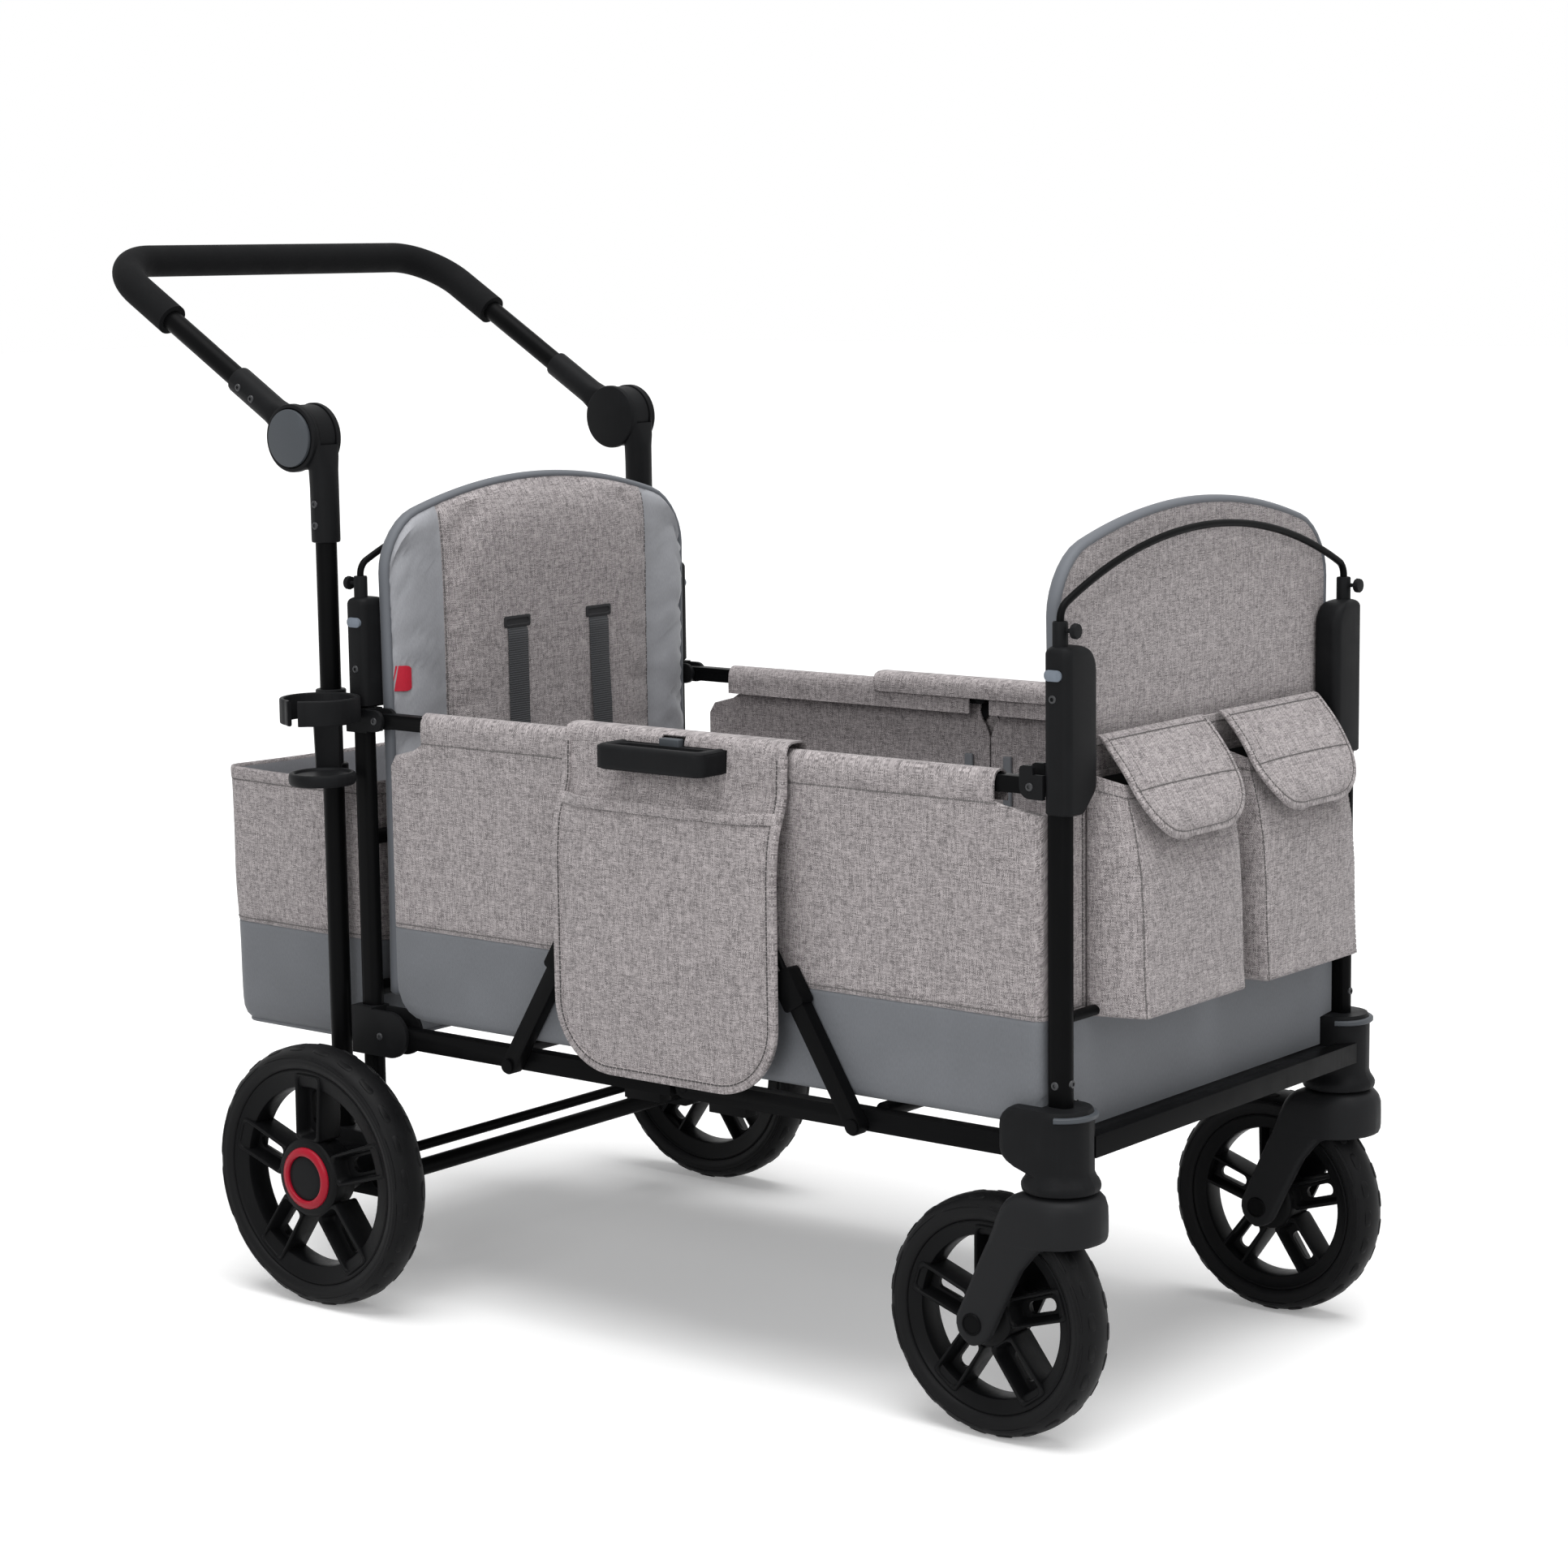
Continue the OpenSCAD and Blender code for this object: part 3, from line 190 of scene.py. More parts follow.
class WagonHard(PropertyGroup):
    """Finish of the metal, plastic and rubber pieces."""

    paint: colour("Frame Paint", "Satin powder coat of the tubes", (0.0036, 0.0037, 0.0040))
    plastic: colour("Moulded Plastic", "Grained plastic fittings", (0.0095, 0.0098, 0.0106))
    slate: colour("Slate Accent", "Hub and fold buttons and caster tabs", (0.056, 0.063, 0.072))
    button: colour("Housing Buttons", "Paler buttons of the corner housings", (0.150, 0.175, 0.210))
    rubber: colour("Tyre Rubber", "Tread and side wall", (0.0058, 0.0059, 0.0064))
    edge_round: distance("Edge Round", "Rounded edge of moulded pieces", 0.0011, 0.0, 0.004)
    tread_count: IntProperty(name="Tread Pads", description="Pads round one shoulder of a tyre",
                             default=24, min=12, max=60)


class WagonStage(PropertyGroup):
    """Camera and light."""

    lens: FloatProperty(name="Lens", description="Focal length over a 36 mm frame", unit="CAMERA",
                        default=82.48, min=20, max=200)
    key_power: FloatProperty(name="Softbox Power", description="Power of the softbox beside the wagon",
                             unit="POWER", default=60.0, min=0, max=2000)
    sun_level: FloatProperty(name="Top Light", description="Level of the wide light from above",
                             default=2.6, min=0, max=10)
    sky: FloatProperty(name="Sky Level", description="Level of the even white surround",
                       default=0.33, min=0, max=3)


# ---- mesh helpers ----


class Build:
    """Vertices and faces of one piece, with material numbers and cloth coordinates."""

    def __init__(self, *shapes):
        self.verts, self.faces, self.paint, self.uv = [], [], [], []
        for shape in shapes:
            self.add(*shape)

    def add(self, verts, faces, paint=0, uv=None):
        base = len(self.verts)
        self.verts.extend(verts)
        self.faces.extend([base + k for k in f] for f in faces)
        self.paint.extend(paint if isinstance(paint, list) else [paint] * len(faces))
        self.uv.extend(uv or [(0.0, 0.0)] * len(verts))

    def moved(self, move):
        """The same piece with every point moved, its faces turned over in a mirror image."""
        other = Build()
        other.verts = [move(p) for p in self.verts]
        other.faces = [f[::-1] for f in self.faces] if move is mirror_y else self.faces
        other.paint, other.uv = self.paint, self.uv
        return other


def both_sides(shapes):
    """One piece from the shapes of its right and left halves."""
    return Build(*shapes(-1), *shapes(1))


def place_object(name, data):
    obj = bpy.data.objects.new(name, data)
    bpy.context.scene.collection.objects.link(obj)
    return obj


def remove_template(obj):
    mesh = obj.data
    bpy.data.objects.remove(obj)
    bpy.data.meshes.remove(mesh)


def smooth(mesh, sharp):
    mesh.polygons.foreach_set("use_smooth", [True] * len(mesh.polygons))
    mesh.set_sharp_from_angle(angle=math.radians(sharp))


def raise_piece(name, build, looks="", sharp=40.0):
    """Turns a Build into a mesh object at the origin, its faces outwards."""
    mesh = bpy.data.meshes.new(name)
    mesh.from_pydata([tuple(v) for v in build.verts], [], build.faces)
    for look in looks.split():
        mesh.materials.append(MATERIALS[look])
    mesh.polygons.foreach_set("material_index", build.paint)
    layer = mesh.uv_layers.new(name="cloth")
    layer.data.foreach_set("uv", [c for loop in mesh.loops for c in build.uv[loop.vertex_index]])
    bm = bmesh.new()
    bm.from_mesh(mesh)
    bmesh.ops.remove_doubles(bm, verts=bm.verts, dist=1e-6)
    bmesh.ops.recalc_face_normals(bm, faces=bm.faces)
    bm.to_mesh(mesh)
    bm.free()
    smooth(mesh, sharp)
    return place_object(name, mesh)


def settle(obj, body, slot, *nodes):
    """Puts a finished piece on its body; it may stand for CAD nodes."""
    if nodes:
        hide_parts(*nodes)
    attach(obj, body)
    return obj


def piece(name, build, looks, body, slot, *nodes, sharp=40.0):
    return settle(raise_piece(name, build, looks, sharp), body, slot, *nodes)


def baked(obj):
    """Applies the object's modifiers into its mesh."""
    bpy.context.view_layer.update()
    graph = bpy.context.evaluated_depsgraph_get()
    mesh = bpy.data.meshes.new_from_object(obj.evaluated_get(graph), preserve_all_data_layers=True,
                                           depsgraph=graph)
    old = obj.data
    obj.modifiers.clear()
    obj.data = mesh
    mesh.name = obj.name
    if old.users == 0:
        bpy.data.meshes.remove(old)


def carved(name, build, room, look):
    """A moulding with another solid cut out of it."""
    obj = raise_piece(name, build, look)
    cutter = raise_piece(name + "_room", room)
    mod = obj.modifiers.new("room", "BOOLEAN")
    mod.operation = "DIFFERENCE"
    mod.solver = "EXACT"
    mod.object = cutter
    baked(obj)
    remove_template(cutter)
    smooth(obj.data, 34)
    return obj


def loft(loops, closed_ring=True, closed_path=False, caps=False):
    """Faces between rows of points of one count."""
    n, m = len(loops), len(loops[0])
    faces = []
    for i in range(n if closed_path else n - 1):
        row, after = i * m, (i + 1) % n * m
        for j in range(m if closed_ring else m - 1):
            k = (j + 1) % m
            faces.append([row + j, row + k, after + k, after + j])
    if caps:
        faces += [list(reversed(range(m))), [(n - 1) * m + j for j in range(m)]]
    return [p for loop in loops for p in loop], faces


def circle(radius, count):
    return arc(0.0, 0.0, radius, 0.0, 2 * math.pi, count + 1)[:-1]


def corner_loop(corners, per_corner, steps=(1, 1)):
    """A loop round four corners of (centre a, centre b, radius), with points along its sides."""
    arcs = [arc(a, b, r, QUARTER * k, QUARTER * (k + 1), per_corner) for k, (a, b, r) in enumerate(corners)]
    points = []
    for k, bend in enumerate(arcs):
        (a0, b0), (a1, b1), count = bend[-1], arcs[(k + 1) % 4][0], steps[k % 2]
        points += bend + [(lerp(a0, a1, s / count), lerp(b0, b1, s / count)) for s in range(1, count)]
    return points


def rounded_rect(half_a, half_b, radius, per_corner, *steps):
    """A rounded rectangle as a loop of points round its centre."""
    a, b = half_a - radius, half_b - radius
    return corner_loop([(sa * a, sb * b, radius) for sa, sb in ((1, 1), (-1, 1), (-1, -1), (1, -1))],
                       per_corner, steps or (1, 1))


def sweep(points, ring, normals=None, closed=False):
    """A section carried along a path. Its first axis follows the normals, or turns as little as it can."""
    n, loops, u = len(points), [], None
    for k, p in enumerate(points):
        before = points[k - 1] if closed or k else p
        after = points[(k + 1) % n] if closed or k < n - 1 else p
        t = (after - before).normalized()
        if normals:
            u = normals[k] if isinstance(normals, list) else normals
        elif u is None:
            u = UP if abs(t.z) < 0.9 else Vector((1, 0, 0))
        u = (u - t * u.dot(t)).normalized()
        v = t.cross(u)
        loops.append([p + u * a + v * b for a, b in ring])
    return loft(loops, closed_path=closed, caps=not closed)


def turned(centre, profile, count, side, solid=False):
    """A profile of (radius, distance outwards), in millimetres, turned about Y: a ring, or a flat-ended solid."""
    rings = [[at(centre[0] + a, side * (centre[1] + out), centre[2] + b) for a, b in circle(r, count)]
             for r, out in profile]
    return loft(rings, closed_path=not solid, caps=solid)


def turned_up(x, out, rows, side, count):
    """A solid of (radius, z) turned about an upright axis."""
    return loft([[at(x + a, side * (out + b), z) for a, b in circle(r, count)] for r, z in rows], caps=True)


def upright(rows, side, per_corner=6):
    """A moulding from rounded plan outlines: (z, x0, x1, out from, out to, back radius, front radius if other)."""
    loops = []
    for z, x0, x1, out0, out1, *soft in rows:
        back, front = soft[0], soft[-1]
        outline = corner_loop([(x1 - front, out1 - front, front), (x0 + back, out1 - back, back),
                               (x0 + back, out0 + back, back), (x1 - front, out0 + front, front)], per_corner)
        loops.append([at(x, side * out, z) for x, out in outline])
    return loft(loops, caps=True)


def cloth_shell(grid, uv, thickness, paint=lambda i, j: 0, side=1.0):
    """Cloth of one thickness on a grid of points; paint gives each cell a material, or None for a hole."""
    n, m = len(grid), len(grid[0])
    count, inner = n * m, []
    for i, column in enumerate(grid):
        for j, p in enumerate(column):
            du = grid[min(i + 1, n - 1)][j] - grid[max(i - 1, 0)][j]
            dv = column[min(j + 1, m - 1)] - column[max(j - 1, 0)]
            inner.append(p - du.cross(dv).normalized() * side * thickness)
    faces, slots, edges = [], [], {}
    for i in range(n - 1):
        for j in range(m - 1):
            slot = paint(i, j)
            if slot is None:
                continue
            a = i * m + j
            quad = [a, a + m, a + m + 1, a + 1]
            faces += [quad, [count + k for k in reversed(quad)]]
            slots += [slot, slot]
            for edge in zip(quad, quad[1:] + quad[:1]):
                if edges.pop(edge[::-1], None) is None:
                    edges[edge] = slot
    for (a, b), slot in edges.items():
        faces.append([b, a, count + a, count + b])
        slots.append(slot)
    flat = [c for column in uv for c in column]
    return [p for column in grid for p in column] + inner, faces, slots, flat + flat


def planar_uv(grid, pick):
    return [[pick(p) for p in column] for column in grid]


def grid_point(grid, u, v, lift=0.0):
    """A point on a grid at fractional column u and row v, lifted off its face."""
    u, v = min(max(u, 0.0), len(grid) - 1.001), min(max(v, 0.0), len(grid[0]) - 1.001)
    i, j = int(u), int(v)
    a, b, c, d = grid[i][j], grid[i + 1][j], grid[i][j + 1], grid[i + 1][j + 1]
    p = a.lerp(b, u - i).lerp(c.lerp(d, u - i), v - j)
    return p + (b - a).cross(c - a).normalized() * lift


# ---- materials ----


def feed(tree, socket, value):
    """Links an output to a socket, or sets the socket's own value."""
    if isinstance(value, NodeSocket):
        tree.links.new(value, socket)
    else:
        socket.default_value = value


def wire(tree, kind, inputs=None, output=0, **settings):
    """Adds a node, feeds its inputs and returns one of its outputs."""
    node = tree.nodes.new(kind)
    for name, value in settings.items():
        setattr(node, name, value)
    for key, value in (inputs or {}).items():
        feed(tree, node.inputs[key], value)
    return node.outputs[output] if node.outputs else None


def scaled(tint, k):
    return tuple(min(1.0, c * k) for c in tint)


class Look:
    """A material, with short calls for the nodes of its shader."""

    def __init__(self, name):
        self.material = bpy.data.materials.new(name)
        self.material.use_nodes = True
        self.tree = self.material.node_tree
        self.bsdf = self.tree.nodes["Principled BSDF"]

    def add(self, kind, inputs=None, output=0, **settings):
        return wire(self.tree, kind, inputs, output, **settings)

    def surface(self, values):
        for name, value in values.items():
            feed(self.tree, self.bsdf.inputs[name], value)

    def math(self, operation, *values):
        return self.add("ShaderNodeMath", dict(enumerate(values)), operation=operation)

    def total(self, a, share_a, b, share_b):
        return self.math("ADD", self.math("MULTIPLY", a, share_a), self.math("MULTIPLY", b, share_b))

    def cloth_uv(self):
        """Cloth coordinates in metres, whole and as X and Y."""
        uv = self.add("ShaderNodeUVMap", uv_map="cloth")
        return uv, *(self.add("ShaderNodeSeparateXYZ", {0: uv}, k) for k in (0, 1))

    def noise(self, vector, scale, detail, stretch=None):
        if stretch:
            vector = self.add("ShaderNodeMapping", {"Vector": vector, "Scale": stretch})
        return self.add("ShaderNodeTexNoise", {"Vector": vector, "Scale": scale, "Detail": detail}, "Fac")

    def ranged(self, value, start, end, low, high):
        return self.add("ShaderNodeMapRange", {"Value": value, "From Min": start, "From Max": end,
                                               "To Min": low, "To Max": high})

    def ramp(self, value, *stops):
        node = self.tree.nodes.new("ShaderNodeValToRGB")
        elements = node.color_ramp.elements
        for k, (place, tint) in ((0, stops[0]), (1, stops[-1])):
            elements[k].position = place
            elements[k].color = (*tint, 1)
        for place, tint in stops[1:-1]:
            elements.new(place).color = (*tint, 1)
        feed(self.tree, node.inputs["Fac"], value)
        return node.outputs["Color"]

    def bump(self, height, strength, depth):
        self.surface({"Normal": self.add("ShaderNodeBump", {"Height": height, "Strength": strength,
                                                            "Distance": depth})})

    def weave(self, x, y, pitch):
        """Height of a plain weave."""
        return self.math("MULTIPLY", *(self.math("SINE", self.math("MULTIPLY", axis, math.pi / pitch))
                                       for axis in (x, y)))


def seen_directly(tree):
    """1 where a ray comes from the camera, from a gloss or through glass."""
    path = tree.nodes.new("ShaderNodeLightPath").outputs
    seen = path["Is Camera Ray"]
    for name in ("Is Glossy Ray", "Is Transmission Ray"):
        seen = wire(tree, "ShaderNodeMath", {0: seen, 1: path[name]}, operation="MAXIMUM")
    return seen


def heather_cloth(cloth):
    """Slubby heather weave: pale and dark threads both ways."""
    look = Look("heather_cloth")
    _, x, y = look.cloth_uv()
    threads = []
    for along, across, seed in ((x, y, 3.1), (y, x, 17.7)):
        index = look.math("FLOOR", look.math("DIVIDE", across, cloth.thread_pitch))
        slubs = []
        for step in (150.0, 32.0):
            place = look.add("ShaderNodeCombineXYZ", {0: look.math("MULTIPLY", along, step),
                                                      1: look.math("MULTIPLY", index, 7.13), 2: seed})
            slubs.append(look.noise(place, 1.0, 2.0))
        threads.append(look.total(slubs[0], 0.72, slubs[1], 0.28))
    weave = look.weave(x, y, cloth.thread_pitch)
    shown = look.add("ShaderNodeMix", {"Factor": look.math("GREATER_THAN", weave, 0.0),
                                       "A": threads[0], "B": threads[1]}, "Result")
    light, dark = tuple(cloth.heather_light), tuple(cloth.heather_dark)
    middle = tuple((a + b) / 2 for a, b in zip(light, dark))
    look.surface({"Base Color": look.ramp(shown, (0.38, dark), (0.50, middle), (0.62, light)), "Roughness": 0.88,
                  "Sheen Weight": 0.18, "Sheen Roughness": 0.45, "Specular IOR Level": 0.25})
    look.bump(look.math("ADD", weave, look.math("MULTIPLY", shown, 1.6)), 0.45, 0.00035)
    return look.material


def smooth_cloth(name, tint, pitch, roughness):
    """Tight smooth weave with faint marks."""
    look = Look(name)
    uv, x, y = look.cloth_uv()
    marks = look.noise(uv, 14.0, 5.0)
    value = look.total(marks, 0.5, look.noise(uv, 1.0, 3.0, (900, 240, 1)), 0.5)
    look.surface({"Base Color": look.ramp(value, (0.3, scaled(tint, 0.86)), (0.7, scaled(tint, 1.13))),
                  "Roughness": look.ranged(marks, 0.0, 1.0, roughness - 0.06, roughness + 0.08),
                  "Sheen Weight": 0.12, "Sheen Roughness": 0.4, "Specular IOR Level": 0.35})
    look.bump(look.weave(x, y, pitch), 0.3, 0.0002)
    return look.material


def webbing(name, tint, rib=0.0024):
    """Ribbed strap webbing."""
    look = Look(name)
    uv, _, y = look.cloth_uv()
    ribs = look.math("SINE", look.math("MULTIPLY", y, 2 * math.pi / rib))
    value = look.total(ribs, 0.25, look.noise(uv, 700.0, 2.0), 1.0)
    look.surface({"Base Color": look.ramp(value, (0.25, scaled(tint, 0.6)), (0.8, scaled(tint, 1.35))),
                  "Roughness": 0.75, "Sheen Weight": 0.1})
    look.bump(ribs, 0.5, 0.0004)
    return look.material


def hard_finish(name, tint, roughness, grain_scale, grain, wear, specular):
    """Moulded or painted surface with fine grain, faint scuffs and handling marks."""
    look = Look(name)
    coords = look.add("ShaderNodeTexCoord", output="Object")
    value = look.total(look.noise(coords, 38.0, 8.0), 0.65, look.noise(coords, 1.0, 5.0, (260, 260, 22)), 0.35)
    tint = tuple(tint)
    shade = look.ramp(value, (0.36, scaled(tint, 1 - wear)), (0.56, tint), (0.74, scaled(tint, 1 + 2.2 * wear)))
    look.surface({"Base Color": shade, "Specular IOR Level": specular,
                  "Roughness": look.ranged(value, 0.35, 0.7, roughness - 0.06, roughness + 0.10)})
    look.bump(look.noise(coords, grain_scale, 2.0), grain, 0.0003)
    return look.material


MATERIALS = {}
TREES = {}


def prepare():
    """Makes the materials and node groups that the operators share."""
    cloth, hard = bpy.context.scene.wagon_cloth, bpy.context.scene.wagon_hard
    MATERIALS["heather"] = heather_cloth(cloth)
    MATERIALS["strap"] = webbing("harness_webbing", (0.030, 0.032, 0.036))
    for key, name, tint, pitch, roughness in (
            ("band", "band_cloth", cloth.band, 0.0008, 0.62),
            ("bolster", "bolster_cloth", cloth.bolster, 0.0008, 0.6),
            # The piping's dark tone is painted shade of the bolster cloth
            ("piping", "corded_piping", cloth.piping, 0.0009, 0.58),
            ("lining", "pocket_lining", (0.018, 0.018, 0.02), 0.0012, 0.85),
            ("thread", "stitch_thread", (0.120, 0.113, 0.112), 0.0006, 0.7),
            # The seam thread is painted shadow: a dark line drawn where the flap's binding and pocket hem cast a thin
            # shadow
            ("seam", "seam_thread", (0.062, 0.058, 0.058), 0.0006, 0.8),
            ("tag", "red_tag", cloth.tag, 0.0007, 0.6)):
        MATERIALS[key] = smooth_cloth(name, tint, pitch, roughness)
    # Key, name, colour, roughness, grain scale, grain, wear and specular level
    for key, *values in (
            ("paint", "satin_frame_paint", hard.paint, 0.38, 1500.0, 0.06, 0.10, 0.035),
            ("plastic", "grained_plastic", hard.plastic, 0.48, 2600.0, 0.22, 0.14, 0.06),
            ("rim", "wheel_plastic", scaled(hard.plastic, 0.55), 0.40, 2600.0, 0.12, 0.14, 0.07),
            ("slate", "slate_plastic", hard.slate, 0.48, 2600.0, 0.12, 0.06, 0.3),
            ("tyre", "tyre_rubber", hard.rubber, 0.48, 1900.0, 0.25, 0.16, 0.10),
            ("foam", "grip_foam", (0.0080, 0.0082, 0.0088), 0.80, 900.0, 0.45, 0.10, 0.08),
            ("boot", "moulded_boot", scaled(hard.plastic, 1.3), 0.52, 3000.0, 0.10, 0.08, 0.10),
            ("red", "red_ring", scaled(cloth.tag, 0.74), 0.3, 1800.0, 0.05, 0.05, 0.2),
            ("screw", "blackened_screw", (0.030, 0.031, 0.034), 0.34, 1200.0, 0.08, 0.2, 0.4),
            ("button", "pale_slate_button", hard.button, 0.46, 2400.0, 0.10, 0.06, 0.3)):
        MATERIALS[key] = hard_finish(*values)
    TREES.update(stitches=stitch_tree(), copies=copy_tree())


# ---- repeating details, made with geometry nodes ----


def node_group(name, *inputs):
    """A geometry node group with named inputs; returns it, the inputs' identifiers and their outputs inside."""
    tree = bpy.data.node_groups.new(name, "GeometryNodeTree")
    ids = {}
    for label, kind, *default in (("Geometry", "Geometry"), *inputs):
        socket = tree.interface.new_socket(label, in_out="INPUT", socket_type="NodeSocket" + kind)
        if default:
            socket.default_value = default[0]
        ids[label] = socket.identifier
    tree.interface.new_socket("Geometry", in_out="OUTPUT", socket_type="NodeSocketGeometry")
    return tree, ids, tree.nodes.new("NodeGroupInput").outputs


def finish_tree(tree, instances, material):
    real = wire(tree, "GeometryNodeRealizeInstances", {0: instances})
    painted = wire(tree, "GeometryNodeSetMaterial", {"Geometry": real, "Material": material})
    wire(tree, "NodeGroupOutput", {0: painted})


def stitch_tree():
    """Stitches at even steps along the edges of a mesh."""
    tree, ids, given = node_group("even_stitches", ("Length", "Float", 0.0036), ("Gap", "Float", 0.0014),
                                  ("Radius", "Float", 0.0006), ("Material", "Material"))
    curve = wire(tree, "GeometryNodeMeshToCurve", {0: given["Geometry"]})
    step = wire(tree, "ShaderNodeMath", {0: given["Length"], 1: given["Gap"]}, operation="ADD")
    even = wire(tree, "GeometryNodeResampleCurve", {"Curve": curve, "Length": step}, mode="LENGTH")
    turn = wire(tree, "FunctionNodeAlignRotationToVector",
                {"Vector": wire(tree, "GeometryNodeInputTangent")}, axis="Z")
    stitch = wire(tree, "GeometryNodeMeshCylinder", {"Vertices": 6, "Radius": given["Radius"],
                                                     "Depth": given["Length"]}, "Mesh")
    placed = wire(tree, "GeometryNodeInstanceOnPoints", {"Points": even, "Instance": stitch, "Rotation": turn})
    finish_tree(tree, placed, given["Material"])
    return tree, ids


def copy_tree():
    """One shape on every point, its Z along `facing` and its X along `along`."""
    tree, ids, given = node_group("placed_copies", ("Shape", "Object"), ("Size", "Float", 1.0),
                                  ("Material", "Material"))
    facing, along = (wire(tree, "GeometryNodeInputNamedAttribute", {"Name": label}, "Attribute",
                          data_type="FLOAT_VECTOR") for label in ("facing", "along"))
    turn = wire(tree, "FunctionNodeAlignRotationToVector", {"Vector": facing}, axis="Z")
    turn = wire(tree, "FunctionNodeAlignRotationToVector", {"Rotation": turn, "Vector": along},
                axis="X", pivot_axis="Z")
    shape = wire(tree, "GeometryNodeObjectInfo", {"Object": given["Shape"]}, "Geometry")
    placed = wire(tree, "GeometryNodeInstanceOnPoints", {"Points": given["Geometry"], "Instance": shape,
                                                         "Rotation": turn, "Scale": given["Size"]})
    finish_tree(tree, placed, given["Material"])
    return tree, ids


def with_tree(name, mesh, kind, values):
    """A mesh run through a node group and kept as a plain mesh."""
    tree, ids = TREES[kind]
    obj = place_object(name, mesh)
    mod = obj.modifiers.new("copies", "NODES")
    mod.node_group = tree
    for label, value in values.items():
        mod[ids[label]] = value
    baked(obj)
    smooth(obj.data, 40)
    return obj


def stitches(name, paths, body=None, thread="thread", radius=0.0006):
    """Rows of stitches along lists of points, settled on a body if one is given."""
    cloth = bpy.context.scene.wagon_cloth
    verts, edges = [], []
    for path in paths:
        edges.extend((len(verts) + k, len(verts) + k + 1) for k in range(len(path) - 1))
        verts.extend(tuple(p) for p in path)
    mesh = bpy.data.meshes.new(name)
    mesh.from_pydata(verts, edges, [])
    obj = with_tree(name, mesh, "stitches", {"Length": cloth.stitch_length, "Gap": cloth.stitch_gap,
                                             "Radius": radius, "Material": MATERIALS[thread]})
    return settle(obj, body, "heather") if body else obj


def copies(name, places, shape, look, body, slot):
    """Copies of a small shape at (point, facing, along)."""
    mesh = bpy.data.meshes.new(name)
    mesh.from_pydata([tuple(p[0]) for p in places], [], [])
    for k, label in ((1, "facing"), (2, "along")):
        layer = mesh.attributes.new(label, "FLOAT_VECTOR", "POINT")
        layer.data.foreach_set("vector", [c for p in places for c in p[k]])
    obj = with_tree(name, mesh, "copies", {"Shape": shape, "Size": 1.0, "Material": MATERIALS[look]})
    return settle(obj, body, slot)


# ---- hard pieces ----


def finish(mesh, look):
    """Gives a mesh one material all over."""
    mesh.materials.clear()
    mesh.materials.append(MATERIALS[look])
    mesh.polygons.foreach_set("material_index", [0] * len(mesh.polygons))


def softened(node, look, slot, width):
    """A moulded copy of a node with rounded edges, which stands for it."""
    bm = bmesh.new()
    bm.from_mesh(frame["nodes"][node].data)
    bmesh.ops.remove_doubles(bm, verts=bm.verts, dist=2e-6)
    bmesh.ops.dissolve_limit(bm, angle_limit=math.radians(0.6), verts=bm.verts, edges=bm.edges)
    edges = [e for e in bm.edges if len(e.link_faces) == 2 and e.calc_face_angle(0) > math.radians(30)
             and e.calc_length() > width * 0.6]
    bmesh.ops.bevel(bm, geom=edges, offset=width, segments=2, profile=0.6, affect="EDGES", clamp_overlap=True)
    bmesh.ops.triangulate(bm, faces=[f for f in bm.faces if len(f.verts) > 4])
    mesh = bpy.data.meshes.new(node + "_moulded")
    bm.to_mesh(mesh)
    bm.free()
    finish(mesh, look)
    smooth(mesh, 32)
    settle(place_object(node + "_moulded", mesh), BODY_OF[node], slot, node)


PAINTED = ("rear_axle", "brake_bar", "push_bar", "rear_strut_rods", "front_strut_rods")
MOULDED_PAINT = ("rear_frame", "rear_floor_rails", "front_floor_rails", "rear_top_rails", "front_top_rails",
                 "rear_strut_channels", "front_strut_channels", "front_frame")
MOULDED_PLASTIC = ("axle_housings", "pivot_brackets", "fold_handles")
BUTTONS = (("rear", "button"), ("front", "button"), ("hub", "slate"), ("fold", "slate"))
CLOTH_COVERED = ("rear_floor_board", "front_floor_board", "rear_wall_battens", "front_wall_battens")


class WAGON_OT_frame(Operator):
    """Finishes the tubes, rails, fold handles, buttons, boards and battens"""

    bl_idname = "wagon.frame"
    bl_label = "Frame and Fittings"

    def execute(self, context):
        for node in PAINTED:
            finish(frame["nodes"][node].data, "paint")
        finish(frame["nodes"]["foam_grip"].data, "foam")
        for node in MOULDED_PAINT:
            softened(node, "paint", "frame_paint", 0.0009)
        for node in MOULDED_PLASTIC:
            softened(node, "plastic", "plastic", context.scene.wagon_hard.edge_round)
        piece("fold_handle_grips", both_sides(self.grip), "plastic", "fold_handle", "plastic", sharp=50)
        for kind, look in BUTTONS:
            for hand, _ in SIDES:
                softened(f"{kind}_button_{hand}", look, "accent", 0.0014)
        for node in CLOTH_COVERED:
            softened(node, "band", "band", 0.0015)
        return {"FINISHED"}

    def grip(self, side):
        """A soft-edged bar over the fold handle's loop, from one end of the pocket edge to the other."""
        half, bend, inner, outer = 60.0, 6.7, 267.0, 299.3
        path = [(-half, o) for o in spread(4, inner, outer - bend)]
        path += arc(bend - half, outer - bend, bend, math.pi, QUARTER, 8)[1:]
        path += [(x, outer) for x in spread(5, bend - half, 0.0)[1:]]
        points = [at(CENTRE_X + x, side * o, TOP_Z - 3.4) for x, o in both_halves(path)]
        return [sweep(points, rounded_rect(12.2 * MM, bend * MM, 5.4 * MM, 6), UP)]


